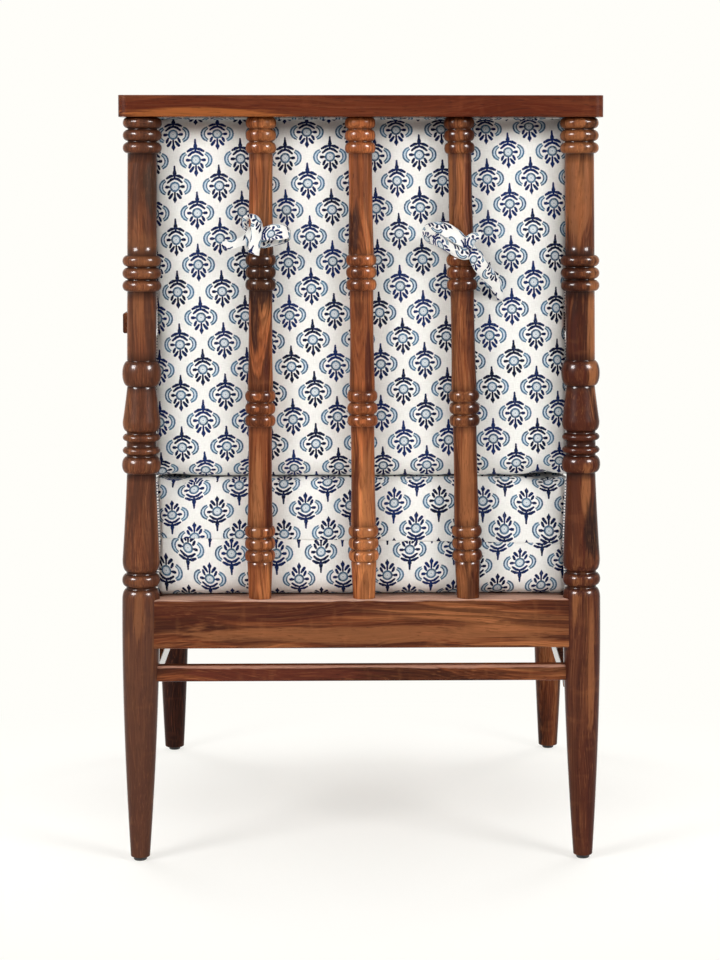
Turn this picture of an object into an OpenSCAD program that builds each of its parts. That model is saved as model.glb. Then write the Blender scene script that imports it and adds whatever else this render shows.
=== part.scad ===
// Turned-post armchair with loose seat cushion and tied back cushion.
// Millimetres, +Z up, the chair faces -Y, origin on the floor under the middle of its outline.

/* [Overall] */
// Height of the chair to the top of the top rail
total_h = 970; // [900:1:1020]
// Distance between the axes of front and back posts
leg_depth = 590; // [520:1:640]
// Distance between the axes of the back posts at the floor
back_foot_span = 565; // [540:1:569]
// Distance between the axes of the back posts at the top
back_top_span = 547; // [530:1:560]
// Distance between the axes of the front posts
front_span = 569; // [566:1:620]

/* [Top rail] */
// Length of the top rail
top_rail_w = 604; // [600:1:640]
// Depth of the top rail, front to back
top_rail_d = 60; // [56:1:80]
// Thickness of the top rail
top_rail_t = 27; // [24:0.5:34]
// Radius of the top rail's corners seen from above
top_rail_corner = 12; // [4:0.5:24]

/* [Turned posts] */
// Diameter of a post's beads
bead_d = 49; // [46:0.5:50]
// Diameter of a post's plain column
column_d = 37; // [32:0.5:40]
// Diameter of a post's narrow necks
neck_d = 37.5; // [32:0.5:40]
// Largest diameter of a leg
leg_d = 47.6; // [44:0.2:49]
// Height above the floor where a leg's taper starts to bend
leg_knee_z = 190; // [150:5:220]
// Diameter of a back leg at its foot
back_foot_d = 24.8; // [22:0.2:32]
// Diameter of a front leg at its foot
front_foot_d = 28.8; // [22:0.2:34]
// Bevel round the bottom of a leg
foot_bevel = 1.6; // [0.5:0.1:3]
// Rise of a leg's round shoulder above the seat rail
shoulder_rise = 12.5; // [8:0.5:20]
// Height of the leg's round shoulder
shoulder_h = 14; // [6:0.5:16]
// Height of a short neck between two turnings
neck_h = 3.4; // [2:0.2:5]
// Height of the single bead above the seat rail
low_bead_h = 15.6; // [12:0.2:20]
// Height of the long flared turning
flare_h = 123; // [100:1:130]
// Height of the rounding at the foot of the flare
flare_round_h = 14; // [8:0.5:20]
// Height of the fat bead
fat_bead_h = 21; // [16:0.5:24]
// Height of a thin bead
thin_bead_h = 8.8; // [6:0.2:11]
// Height of the cove between the thin beads
cove_h = 7.6; // [5:0.2:10]
// Height of the bell-shaped turning
bell_h = 57; // [48:1:62]
// Height of the bell's rounded foot
bell_round_h = 11; // [6:0.5:14]
// Height of the flattened ball
ball_h = 32; // [26:0.5:34]
// Plain column between the ball and the arm
arm_gap = 34.5; // [24:0.5:40]
// Plain column between the arm and the middle beads
over_arm_h = 27.5; // [22:0.5:36]
// Height of one bead in a group of three
bead_h = 14; // [11:0.2:16]
// Distance from bead to bead in a group of three
bead_pitch = 15.6; // [14.2:0.1:17]

/* [Spindles] */
// Diameter of a spindle's column
spindle_d = 30; // [24:0.5:32]
// Diameter of a spindle's beads
spindle_bead_d = 38.6; // [34:0.2:40]
// Diameter of a spindle where it swells above its beads
spindle_swell_d = 32.4; // [30:0.2:34]
// Diameter of a spindle at its foot
spindle_foot_d = 28.4; // [24:0.2:32]
// Distance from spindle to spindle at the top
spindle_pitch_top = 124; // [110:1:135]
// Distance from spindle to spindle at the foot
spindle_pitch_foot = 132; // [110:1:135]
// Sideways place of the middle spindle at the top
spindle_shift_top = 1.5; // [-6:0.5:6]
// Sideways place of the middle spindle at its foot
spindle_shift_foot = -3; // [-6:0.5:6]
// Height of the lowest beads above the seat rail
low_group_rise = 47; // [35:1:60]

/* [Seat frame] */
// Height of the seat rails' top above the floor
seat_z = 336; // [310:1:360]
// Height of a seat rail's face
rail_h = 62; // [54:1:80]
// Thickness of a seat rail
rail_t = 32; // [26:0.5:34]
// Thickness of a tenon
tenon_t = 12; // [8:0.5:14]
// Margin of a tenon below the rail's top and above its bottom
tenon_margin = 9; // [6:0.5:12]
// Distance at which a tenon stops short of the post's axis
tenon_stop = 9; // [7:0.5:12]
// Height of a stretcher
stretcher_h = 20; // [16:0.5:26]
// Thickness of a stretcher
stretcher_t = 18; // [14:0.5:20]
// Height of the front and back stretchers' underside
stretcher_z = 230.5; // [150:0.5:245]
// Width and height of a side stretcher
side_stretcher = 22; // [16:0.5:24]
// Shift of the left side stretcher from the legs' axes towards the middle
side_stretcher_inset = 12; // [0:0.5:12]
// Distance by which the right side stretcher was set lower
right_stretcher_drop = 13.5; // [0:0.5:16]
// Distance by which the right side stretcher's front end was set outwards
right_stretcher_out = 8; // [0:0.5:8]
// Radius of the eased edges on rails, arms and stretchers
edge_r = 2.5; // [1:0.1:4]

/* [Arms] */
// Width of an arm at its front
arm_w = 49; // [44:0.5:56]
// Width of an arm at its rear end
arm_rear_w = 36; // [30:0.5:40]
// Thickness of an arm
arm_t = 25.5; // [20:0.5:28]
// Overhang of an arm in front of the front post's axis
arm_overhang = 36; // [32:1:50]
// Radius of an arm's front corners
arm_corner = 14; // [4:0.5:22]
// Distance by which the left arm's rear end was set outwards
left_arm_out = 6; // [0:0.5:8]
// Width of the tenon at an arm's rear end
arm_tenon_w = 14; // [10:0.5:16]

/* [Round tenons] */
// Diameter of the posts' round tenons
post_tenon_d = 22; // [16:0.5:26]
// Length of the posts' round tenons
post_tenon_h = 18; // [12:0.5:20]
// Diameter of the spindles' round tenons
spindle_tenon_d = 16; // [12:0.5:20]
// Length of a spindle's upper tenon
spindle_tenon_top = 15; // [10:0.5:20]
// Length of a spindle's lower tenon
spindle_tenon_foot = 25; // [15:0.5:35]

/* [Under the seat] */
// Thickness of the plywood seat deck
deck_t = 12; // [9:0.5:18]
// Gap between the deck and the rails
deck_gap = 1; // [0.5:0.1:3]
// Corner cut from the deck beside each post
deck_corner = 14; // [10:1:30]
// Diameter of the deck's air holes
air_hole_d = 22; // [12:1:40]
// Distance from air hole to air hole
air_hole_pitch = 120; // [80:5:140]
// Width and height of a batten under the deck
batten = 20; // [16:0.5:24]
// Space left between the ends of the battens
batten_end_gap = 4; // [2:0.5:10]
// Side length of a corner block
block_side = 70; // [60:1:90]
// Height of a corner block
block_h = 26; // [20:0.5:28]
// Diameter of a screw's shank
screw_d = 4; // [3:0.1:5]
// Diameter of a screw's head
screw_head_d = 8; // [6:0.1:9]
// Depth to which a screw goes into the second piece
screw_bite = 14; // [8:0.5:16]
// Distance of the deck's screws from its sides
deck_screw_inset = 140; // [100:5:180]
// Distance from screw to screw along a batten
screw_pitch = 120; // [110:1:130]

/* [Feet] */
// Diameter of a foot glide
glide_d = 17; // [12:0.5:22]
// Height of a foot glide
glide_h = 4.6; // [3:0.1:8]
// Bevel round the underside of a foot glide
glide_bevel = 1.2; // [0.4:0.1:2]
// Diameter of a glide's nail
nail_d = 2.6; // [1.5:0.1:4]
// Diameter of a glide's nail head
nail_head_d = 7; // [5:0.2:10]
// Thickness of a glide's nail head
nail_head_t = 1.4; // [0.8:0.1:2]
// Length of a glide's nail above the glide
nail_reach = 16; // [10:0.5:24]

/* [Cushions] */
// Thickness of the seat cushion at its edges
seat_cushion_t = 149; // [120:1:160]
// Rise of the seat cushion's crown
seat_crown = 16; // [6:1:24]
// Distance of the seat cushion's front ahead of the front posts' axes
seat_cushion_ahead = 12; // [0:1:16]
// Bulge of the seat cushion's front
seat_front_bulge = 7; // [2:1:12]
// Radius of the seat cushion's front and rear edges
seat_edge_r = 20; // [16:1:30]
// Thickness of the back cushion at its edges
back_cushion_t = 104; // [80:1:130]
// Bulge of the back cushion's front
back_crown = 20; // [6:1:28]
// Distance of the back cushion's top below the top of the top rail
back_cushion_drop = 16; // [10:1:40]
// Rise of the back cushion's top edge at its middle
back_top_crown = 7; // [2:1:9]
// Radius of the back cushion's edges
back_edge_r = 20; // [16:1:30]
// Radius of the back cushion's top rear edge, pressed round by the top rail
back_top_edge_r = 40; // [36:1:50]
// Width of both cushions across their piping
cushion_w = 519.2; // [480:0.2:519.2]
// Draw-in of the cushions' side panels between their corners
side_draw = 5; // [2:0.5:9]
// Radius of the edge under the piping
seam_r = 12; // [9:0.5:14]
// Diameter of the piping
piping_d = 4.8; // [3:0.2:6]
// Thickness of cover and wadding round the foam block
wadding_t = 24; // [22:1:34]
// Height of the seat cushion's zip above its underside
seat_zip_rise = 69; // [50:1:85]
// Length of the zips
zip_len = 440; // [300:5:460]
// Width of a zip's tape
zip_w = 9; // [6:0.5:14]
// Thickness of a zip
zip_t = 1.4; // [0.8:0.1:2]
// Depth of the channel that holds a zip
zip_channel = 2; // [1.8:0.1:3]

/* [Ties] */
// Width of a tie
tie_w = 14; // [10:0.5:18]
// Thickness of a tie
tie_t = 2.4; // [1.6:0.1:3]
// Height of the ties above the middle beads
tie_rise = 6; // [1:0.5:12]
// Diameter of a tie's knot
knot_d = 15; // [12:0.5:15.5]

/* [Clearances] */
// Glue gap round a tenon or dowel
fit = 0.15; // [0.1:0.05:0.3]
// Space at the blind end of a bore or mortise
blind_gap = 1; // [0.5:0.1:2]
// Extra length of a leaning post or spindle before its end is cut level
end_trim = 1; // [0.5:0.1:2]
// Space between a soft piece and its neighbours
soft_gap = 0.3; // [0.3:0.05:0.6]

/* [Hidden] */
smooth = 64;
wood = [0.47, 0.26, 0.16];
dark_wood = [0.36, 0.2, 0.13];
pale_wood = [0.78, 0.63, 0.44];
steel = [0.7, 0.7, 0.72];
black = [0.05, 0.05, 0.05];
cloth = [0.9, 0.89, 0.86];
blue_cloth = [0.3, 0.4, 0.6];
foam = [0.93, 0.88, 0.66];

// The arms' front ends and the top rail's rear edge bound the chair, and the origin is midway.
chair_depth = arm_overhang + leg_depth + top_rail_d / 2;
back_y = chair_depth / 2 - top_rail_d / 2;
front_y = back_y - leg_depth;
back_foot_x = back_foot_span / 2;
back_top_x = back_top_span / 2;
front_x = front_span / 2;
lean = atan((back_foot_x - back_top_x) / total_h);
function back_x(z) = back_foot_x - z * tan(lean);

// Heights of a post's turnings, each standing on the one below.
top_rail_z = total_h - top_rail_t;
rail_z = seat_z - rail_h;
shoulder_z = seat_z + shoulder_rise;
low_bead_z = shoulder_z + neck_h;
flare_z = low_bead_z + low_bead_h + neck_h;
fat_bead_z = flare_z + flare_h + neck_h / 2;
thin_bead_z = fat_bead_z + fat_bead_h + neck_h;
second_thin_z = thin_bead_z + thin_bead_h + cove_h;
bell_z = second_thin_z + thin_bead_h + neck_h;
ball_z = bell_z + bell_h;
arm_z = ball_z + ball_h + arm_gap;
arm_top_z = arm_z + arm_t;
group_h = 2 * bead_pitch + bead_h;
mid_group_z = arm_top_z + over_arm_h;
top_group_z = top_rail_z - group_h;

// Places of a spindle's four bead groups.
low_group_z = seat_z + low_group_rise;
spindle_group_pitch = (top_group_z - low_group_z) / 3;

// Turned outlines, as [radius, height] points from the bottom up.
function bead(z, h, core, out, n = 9) =
    [for (i = [0:n]) [core + (out - core) * sin(180 * i / n), z + h * (1 - cos(180 * i / n)) / 2]];
function curve(a, b, c, n = 10) =
    [for (i = [0:n]) let (t = i / n) pow(1 - t, 2) * a + 2 * t * (1 - t) * b + t * t * c];
function round_over(r0, z0, r1, z1, n = 5) =
    [for (i = [0:n]) [r1 + (r0 - r1) * cos(90 * i / n), z0 + (z1 - z0) * sin(90 * i / n)]];
function round_under(r0, z0, r1, z1, n = 5) =
    [for (i = [0:n]) [r0 + (r1 - r0) * sin(90 * i / n), z1 - (z1 - z0) * cos(90 * i / n)]];
function group(z, core, out) =
    [for (k = [0:2]) each bead(z + k * bead_pitch, bead_h, core, out)];

function leg_outline(foot_d) = let (
        foot = foot_d / 2,
        full = leg_d / 2,
        bend = shoulder_z - shoulder_h)
    concat(
        [[foot - foot_bevel, glide_h], [foot, glide_h + foot_bevel]],
        curve([foot, glide_h + foot_bevel + 1], [full + 0.6, leg_knee_z], [full, bend], 12),
        round_over(full, bend + 1, neck_d / 2, shoulder_z));

function lower_turnings() = let (neck = neck_d / 2, full = bead_d / 2)
    concat(
        bead(low_bead_z, low_bead_h, neck, full - 0.5),
        round_under(neck, flare_z, full - 0.8, flare_z + flare_round_h),
        curve([full - 0.8, flare_z + flare_round_h + 1],
            [neck + 1.2, flare_z + 0.6 * flare_h],
            [neck - 0.4, flare_z + flare_h], 8),
        bead(fat_bead_z, fat_bead_h, neck, full),
        bead(thin_bead_z, thin_bead_h, neck, full - 0.8, 7),
        bead(second_thin_z, thin_bead_h, neck, full - 0.8, 7),
        round_under(neck, bell_z, full - 0.7, bell_z + bell_round_h),
        curve([full - 0.7, bell_z + bell_round_h + 1],
            [neck + 2.2, bell_z + 0.55 * bell_h],
            [neck - 0.6, ball_z - 0.6], 8),
        bead(ball_z, ball_h, neck - 1, full, 12));

function back_outline() = let (core = column_d / 2, full = bead_d / 2)
    concat(
        [[0, glide_h - 1]], [[back_foot_d / 2 - foot_bevel, glide_h - 1]],
        leg_outline(back_foot_d), lower_turnings(),
        [[core, ball_z + ball_h + 1]],
        group(mid_group_z, core, full),
        group(top_group_z, core, full),
        [[core, top_rail_z + end_trim], [0, top_rail_z + end_trim]]);

function front_outline() = let (core = column_d / 2)
    concat(
        [[0, glide_h]], leg_outline(front_foot_d), lower_turnings(),
        [[core, ball_z + ball_h + 1], [core, arm_z], [0, arm_z]]);

function grown(points, extra) =
    [for (p = points) p[0] == 0 ? p : [p[0] + extra, p[1]]];

module at_back_post() {
    translate([back_foot_x, back_y, 0]) rotate([0, -lean, 0]) children();
}

// Everything between the floor glides and the top rail, so that a leaning end is cut level.
module between_levels(low, high) {
    intersection() {
        children();
        translate([-top_rail_w, back_y - top_rail_d, low]) cube([2 * top_rail_w, 2 * top_rail_d, high - low]);
    }
}

module back_post_solid(extra = 0) {
    at_back_post() rotate_extrude($fn = smooth) polygon(grown(back_outline(), extra));
}

module front_post_solid(extra = 0) {
    translate([front_x, front_y, 0])
        rotate_extrude($fn = smooth) polygon(grown(front_outline(), extra));
}

// A bar with eased edges, running along +X from x = 0.
module eased_bar(length, depth, height) {
    rotate([90, 0, 90]) linear_extrude(length) eased_section(depth, height);
}

module eased_section(depth, height) {
    translate([-depth / 2, edge_r]) square([depth, height - 2 * edge_r]);
    translate([-depth / 2 + edge_r, 0]) square([depth - 2 * edge_r, height]);
    for (x = [-depth / 2 + edge_r, depth / 2 - edge_r], z = [edge_r, height - edge_r]) {
        translate([x, z]) circle(edge_r, $fn = 24);
    }
}

// The line from a back post to a front post, as a frame whose -Y runs forward.
module side_line(from_x, to_x) {
    translate([from_x, back_y, 0]) rotate([0, 0, atan((to_x - from_x) / leg_depth)]) children();
}
function side_length(from_x, to_x) = norm([to_x - from_x, leg_depth]);

module side_bar(from_x, to_x, from, to, depth, height) {
    side_line(from_x, to_x) translate([0, -from, 0]) rotate([0, 0, -90])
        eased_bar(to - from, depth, height);
}

// Tenons, which the mortises repeat with their glue gap.
tenon_h = rail_h - 2 * tenon_margin;
rail_mid_x = back_x(rail_z + rail_h / 2);
stretcher_mid_x = back_x(stretcher_z + stretcher_h / 2);
stub_t = stretcher_t - 2 * edge_r - 2;
stub_h = stretcher_h - 2 * edge_r - 2;
side_stub = side_stretcher - 2 * edge_r - 3;
left_stretcher = [stretcher_mid_x - side_stretcher_inset, front_x - side_stretcher_inset, stretcher_z];
right_stretcher = [left_stretcher[0], left_stretcher[1] + right_stretcher_out,
    stretcher_z - right_stretcher_drop];

module cross_tenons(mid_x, y, z, depth, height, gap = 0) {
    half = mid_x - tenon_stop + gap * blind_gap / fit;
    translate([-half, y - depth / 2 - gap, z - gap])
        cube([2 * half, depth + 2 * gap, height + 2 * gap]);
}

module side_tenon(from_x, to_x, z, depth, height, gap = 0) {
    stop = tenon_stop - gap * blind_gap / fit;
    side_line(from_x, to_x) translate([-depth / 2 - gap, -side_length(from_x, to_x) + stop, z - gap])
        cube([depth + 2 * gap, side_length(from_x, to_x) - 2 * stop, height + 2 * gap]);
}

module rail_tenons(y, mid_x, gap = 0) {
    cross_tenons(mid_x, y, rail_z + tenon_margin, tenon_t, tenon_h, gap);
}

module side_rail_tenons(gap = 0) {
    side_tenon(rail_mid_x, front_x, rail_z + tenon_margin, tenon_t, tenon_h, gap);
}

module stretcher_tenons(y, mid_x, gap = 0) {
    cross_tenons(mid_x, y, stretcher_z + (stretcher_h - stub_h) / 2, stub_t, stub_h, gap);
}

module side_stretcher_tenons(place, gap = 0) {
    side_tenon(place[0], place[1], place[2] + (side_stretcher - side_stub) / 2, side_stub, side_stub, gap);
}

arm_tenon_h = arm_t - 12;
arm_back_x = back_x(arm_z + arm_t / 2);

// The arm's rear tenon stops short of the post's axis.
module arm_tenon(gap = 0) {
    start = column_d / 2 + 2;
    stop = 5 - gap * blind_gap / fit;
    translate([arm_back_x - arm_tenon_w / 2 - gap, back_y - start, arm_z + (arm_t - arm_tenon_h) / 2 - gap])
        cube([arm_tenon_w + 2 * gap, start - stop, arm_tenon_h + 2 * gap]);
}

module nail_hole(x, y) {
    translate([x, y, 0]) cylinder(d = nail_d + 2 * fit, h = glide_h + nail_reach + blind_gap, $fn = 32);
}

module mortised_back_post(side_place) {
    color(wood) difference() {
        union() {
            between_levels(glide_h, top_rail_z) back_post_solid();
            at_back_post() translate([0, 0, top_rail_z - 2 * end_trim])
                cylinder(d = post_tenon_d, h = post_tenon_h + 2 * end_trim, $fn = smooth);
        }
        rail_tenons(back_y, rail_mid_x, fit);
        side_rail_tenons(fit);
        stretcher_tenons(back_y, stretcher_mid_x, fit);
        side_stretcher_tenons(side_place, fit);
        arm_tenon(fit);
        nail_hole(back_foot_x, back_y);
    }
}

module mortised_front_post(side_place) {
    color(wood) difference() {
        union() {
            front_post_solid();
            translate([front_x, front_y, arm_z - end_trim])
                cylinder(d = post_tenon_d, h = post_tenon_h + end_trim, $fn = smooth);
        }
        rail_tenons(front_y, front_x, fit);
        side_rail_tenons(fit);
        stretcher_tenons(front_y, front_x, fit);
        side_stretcher_tenons(side_place, fit);
        nail_hole(front_x, front_y);
    }
}

module back_post_left() {
    mortised_back_post(left_stretcher);
}

module back_post_right() {
    mirror([1, 0, 0]) mortised_back_post(right_stretcher);
}

module front_post_left() {
    mortised_front_post(left_stretcher);
}

module front_post_right() {
    mirror([1, 0, 0]) mortised_front_post(right_stretcher);
}

// Spindles lean a little between their places on the top rail and on the seat rail.
function spindle_top_x(i) = spindle_shift_top - i * spindle_pitch_top;
function spindle_foot_x(i) = spindle_shift_foot - i * spindle_pitch_foot;
spindle_rise = top_rail_z - seat_z;
function spindle_lean(i) = atan((spindle_top_x(i) - spindle_foot_x(i)) / spindle_rise);

module at_spindle(i) {
    translate([spindle_foot_x(i), back_y, seat_z]) rotate([0, spindle_lean(i), 0]) children();
}

function spindle_column(z0, z1) = let (thin = spindle_d / 2, fat = spindle_swell_d / 2)
    curve([fat, z0 + 0.8], [thin - 0.8, (z0 + z1) / 2], [thin, z1 - 0.8], 6);

function spindle_outline() = let (
        out = spindle_bead_d / 2,
        core = spindle_d / 2,
        base = low_group_rise,
        pitch = spindle_group_pitch)
    concat(
        [[0, -end_trim], [spindle_foot_d / 2, -end_trim]],
        curve([spindle_foot_d / 2, 0.5], [core, base / 2], [spindle_swell_d / 2, base - 0.8], 5),
        group(base, core, out),
        spindle_swelling(base + group_h, base + pitch),
        group(base + pitch, core, out),
        spindle_swelling(base + pitch + group_h, base + 2 * pitch),
        group(base + 2 * pitch, core, out),
        spindle_swelling(base + 2 * pitch + group_h, base + 3 * pitch),
        group(base + 3 * pitch, core, out),
        [[core, spindle_rise + end_trim], [0, spindle_rise + end_trim]]);

// A column swells where it stands on its lower beads.
function spindle_swelling(z0, z1) = spindle_column(z0, z1);

module spindle(i) {
    color(wood) {
        between_levels(seat_z, top_rail_z)
            at_spindle(i) rotate_extrude($fn = smooth) polygon(spindle_outline());
        at_spindle(i) translate([0, 0, -spindle_tenon_foot])
            cylinder(d = spindle_tenon_d, h = spindle_rise + spindle_tenon_foot + spindle_tenon_top,
                $fn = smooth);
    }
}

module spindle_bores(i) {
    at_spindle(i) translate([0, 0, -spindle_tenon_foot - blind_gap])
        cylinder(d = spindle_tenon_d + 2 * fit,
            h = spindle_tenon_foot + spindle_rise + spindle_tenon_top + 2 * blind_gap, $fn = 48);
}

module top_rail() {
    color(wood) difference() {
        intersection() {
            translate([-top_rail_w / 2, back_y, top_rail_z]) eased_bar(top_rail_w, top_rail_d, top_rail_t);
            translate([0, back_y, top_rail_z]) linear_extrude(top_rail_t)
                rounded_plan(top_rail_w, top_rail_d, top_rail_corner);
        }
        for (side = [0, 1]) {
            mirror([side, 0, 0]) at_back_post() translate([0, 0, top_rail_z - post_tenon_h])
                cylinder(d = post_tenon_d + 2 * fit, h = 2 * post_tenon_h + blind_gap, $fn = 48);
        }
        for (i = [-1:1]) {
            spindle_bores(i);
        }
    }
}

module rounded_plan(w, d, r) {
    translate([-w / 2 + r, -d / 2]) square([w - 2 * r, d]);
    translate([-w / 2, -d / 2 + r]) square([w, d - 2 * r]);
    for (x = [-w / 2 + r, w / 2 - r], y = [-d / 2 + r, d / 2 - r]) {
        translate([x, y]) circle(r, $fn = smooth);
    }
}

// A rail between two posts, coped to them, with a tenon at each end.
module cross_rail(y, mid_x, depth, height, z) {
    translate([-mid_x, y, z]) eased_bar(2 * mid_x, depth, height);
}

module back_seat_rail() {
    color(wood) difference() {
        union() {
            difference() {
                cross_rail(back_y, rail_mid_x, rail_t, rail_h, rail_z);
                back_post_solid(fit);
                mirror([1, 0, 0]) back_post_solid(fit);
            }
            rail_tenons(back_y, rail_mid_x);
        }
        for (i = [-1:1]) {
            spindle_bores(i);
        }
        batten_screw_row(back_y - rail_t / 2, 1, fit);
        corner_screw_pair(back_y - rail_t / 2, 1, fit);
    }
}

module front_seat_rail() {
    color(wood) difference() {
        union() {
            difference() {
                cross_rail(front_y, front_x, rail_t, rail_h, rail_z);
                front_post_solid(fit);
                mirror([1, 0, 0]) front_post_solid(fit);
            }
            rail_tenons(front_y, front_x);
        }
        batten_screw_row(front_y + rail_t / 2, -1, fit);
        corner_screw_pair(front_y + rail_t / 2, -1, fit);
    }
}

module side_seat_rail() {
    color(wood) difference() {
        union() {
            difference() {
                translate([0, 0, rail_z])
                    side_bar(rail_mid_x, front_x, 0, side_length(rail_mid_x, front_x), rail_t, rail_h);
                back_post_solid(fit);
                front_post_solid(fit);
            }
            side_rail_tenons();
        }
        side_batten_screws(fit);
    }
}

module side_seat_rail_left() {
    side_seat_rail();
}

module side_seat_rail_right() {
    mirror([1, 0, 0]) side_seat_rail();
}

module back_stretcher() {
    color(wood) difference() {
        cross_rail(back_y, stretcher_mid_x, stretcher_t, stretcher_h, stretcher_z);
        back_post_solid(fit);
        mirror([1, 0, 0]) back_post_solid(fit);
    }
    color(wood) stretcher_tenons(back_y, stretcher_mid_x);
}

module front_stretcher() {
    color(wood) difference() {
        cross_rail(front_y, front_x, stretcher_t, stretcher_h, stretcher_z);
        front_post_solid(fit);
        mirror([1, 0, 0]) front_post_solid(fit);
    }
    color(wood) stretcher_tenons(front_y, front_x);
}

// A side stretcher ends just before the back and front stretchers.
module side_stretcher(place) {
    start = stretcher_t / 2 + 1.5;
    color(wood) difference() {
        translate([0, 0, place[2]]) side_bar(place[0], place[1],
            start, side_length(place[0], place[1]) - start, side_stretcher, side_stretcher);
        back_post_solid(fit);
        front_post_solid(fit);
    }
    color(wood) side_stretcher_tenons(place);
}

module side_stretcher_left() {
    side_stretcher(left_stretcher);
}

module side_stretcher_right() {
    mirror([1, 0, 0]) side_stretcher(right_stretcher);
}

// An arm from the back post, where it is coped and tenoned, to beyond the front post.
// Its two long sides spread towards the front, each eased like a bar.
module arm(from_x) {
    rear = 3;
    length = side_length(from_x, front_x) + arm_overhang;
    wide = 2 * arm_w;
    color(wood) difference() {
        union() {
            difference() {
                translate([0, 0, arm_z]) intersection() {
                    arm_side(from_x, 1) side_bar(0, 0, rear, length + 1, wide, arm_t);
                    arm_side(from_x, -1) side_bar(0, 0, rear, length + 1, wide, arm_t);
                    linear_extrude(arm_t) arm_plan();
                }
                back_post_solid(fit);
            }
            arm_tenon();
        }
        translate([front_x, front_y, arm_z - 1])
            cylinder(d = post_tenon_d + 2 * fit, h = post_tenon_h + blind_gap + 1, $fn = 48);
    }
}

// Places a wide bar so that its outer (side 1) or inner (side -1) face is the arm's.
module arm_side(from_x, side) {
    rear_x = from_x + side * arm_rear_w / 2;
    spread_x = front_x + side * arm_w / 2 - rear_x;
    translate([rear_x, back_y, 0]) rotate([0, 0, atan(spread_x / leg_depth)])
        translate([-side * arm_w, -back_y, 0]) children();
}

// The front end has rounded corners.
module arm_plan() {
    end_y = front_y - arm_overhang;
    r = arm_corner;
    translate([front_x - 2 * arm_w, end_y + r]) square([4 * arm_w, back_y - end_y]);
    translate([front_x - arm_w / 2 + r, end_y]) square([arm_w - 2 * r, 2 * r]);
    for (x = [r - arm_w / 2, arm_w / 2 - r]) {
        translate([front_x + x, end_y + r]) circle(r, $fn = smooth);
    }
}

module arm_left() {
    arm(arm_back_x + left_arm_out);
}

module arm_right() {
    mirror([1, 0, 0]) arm(arm_back_x);
}

// Seat deck and what carries it.
deck_z = seat_z - deck_t;
deck_half_w = rail_mid_x - rail_t / 2 - deck_gap;
deck_front_y = front_y + rail_t / 2 + deck_gap;
deck_back_y = back_y - rail_t / 2 - deck_gap;
batten_z = deck_z - batten;
side_inner_back_x = rail_mid_x - rail_t / 2;
deck_screw_x = deck_half_w - deck_screw_inset;

module seat_deck() {
    c = deck_corner;
    color(pale_wood) difference() {
        translate([0, 0, deck_z]) linear_extrude(deck_t) polygon([
            [-deck_half_w + c, deck_front_y], [deck_half_w - c, deck_front_y],
            [deck_half_w, deck_front_y + c], [deck_half_w, deck_back_y - c],
            [deck_half_w - c, deck_back_y], [-deck_half_w + c, deck_back_y],
            [-deck_half_w, deck_back_y - c], [-deck_half_w, deck_front_y + c]]);
        for (i = [-1:1], j = [-1:1]) {
            translate([i * air_hole_pitch, (deck_front_y + deck_back_y) / 2 + j * air_hole_pitch, deck_z - 1])
                cylinder(d = air_hole_d, h = deck_t + 2, $fn = 48);
        }
        deck_screw_set(fit);
    }
}

// A countersunk screw whose head is flush with z = 0 and whose shank points to -Z.
// With an extra gap it is the hole for that screw, open past the surface.
module screw(reach, extra = 0) {
    past = extra * blind_gap / fit;
    rotate_extrude($fn = 32) polygon([
        [0, past], [screw_head_d / 2 + extra, past], [screw_head_d / 2 + extra, -0.5],
        [screw_d / 2 + extra, -0.5 - (screw_head_d - screw_d) / 2],
        [screw_d / 2 + extra, -reach - past],
        [0, -reach - past]]);
}

// Battens screwed to the inner faces of the rails.
screw_places = [-1.5, -0.5, 0.5, 1.5];
cross_batten_half = deck_half_w - deck_corner - batten_end_gap;
side_batten_start = rail_t / 2 + batten + batten_end_gap;

module batten_screw_row(y, outward, extra = 0) {
    for (i = screw_places) {
        translate([i * screw_pitch, y - outward * batten, batten_z + batten / 2])
            rotate([outward * 90, 0, 0]) screw(batten + screw_bite, extra);
    }
}

module side_batten_screws(extra = 0) {
    side_line(rail_mid_x, front_x) for (i = screw_places) {
        translate([-rail_t / 2 - batten, -leg_depth / 2 + i * screw_pitch, batten_z + batten / 2])
            rotate([0, -90, 0]) screw(batten + screw_bite, extra);
    }
}

module deck_screw_set(extra = 0) {
    for (i = [-1, 1], y = [deck_front_y + batten / 2 - deck_gap, deck_back_y - batten / 2 + deck_gap]) {
        translate([i * deck_screw_x, y, seat_z]) screw(deck_t + batten - 6, extra);
    }
}

module batten_back() {
    color(pale_wood) difference() {
        translate([-cross_batten_half, back_y - rail_t / 2 - batten, batten_z])
            cube([2 * cross_batten_half, batten, batten]);
        batten_screw_row(back_y - rail_t / 2, 1, fit);
        deck_screw_set(fit);
    }
}

module batten_front() {
    color(pale_wood) difference() {
        translate([-cross_batten_half, front_y + rail_t / 2, batten_z])
            cube([2 * cross_batten_half, batten, batten]);
        batten_screw_row(front_y + rail_t / 2, -1, fit);
        deck_screw_set(fit);
    }
}

module side_batten() {
    length = side_length(rail_mid_x, front_x) - 2 * side_batten_start;
    color(pale_wood) difference() {
        side_line(rail_mid_x, front_x)
            translate([-rail_t / 2 - batten, -side_batten_start - length, batten_z])
            cube([batten, length, batten]);
        side_batten_screws(fit);
    }
}

module batten_left() {
    side_batten();
}

module batten_right() {
    mirror([1, 0, 0]) side_batten();
}

// Corner blocks, glued between two rails and behind a post, each held by a screw.
block_z = batten_z - block_h;
block_screw_x = rail_mid_x - rail_t / 2 - 0.55 * block_side;

module corner_screw_pair(y, outward, extra = 0) {
    reach = 0.3 * block_side + screw_bite;
    for (i = [-1, 1]) {
        translate([i * block_screw_x, y - outward * (reach - screw_bite), block_z + block_h / 2])
            rotate([outward * 90, 0, 0]) screw(reach, extra);
    }
}

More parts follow.
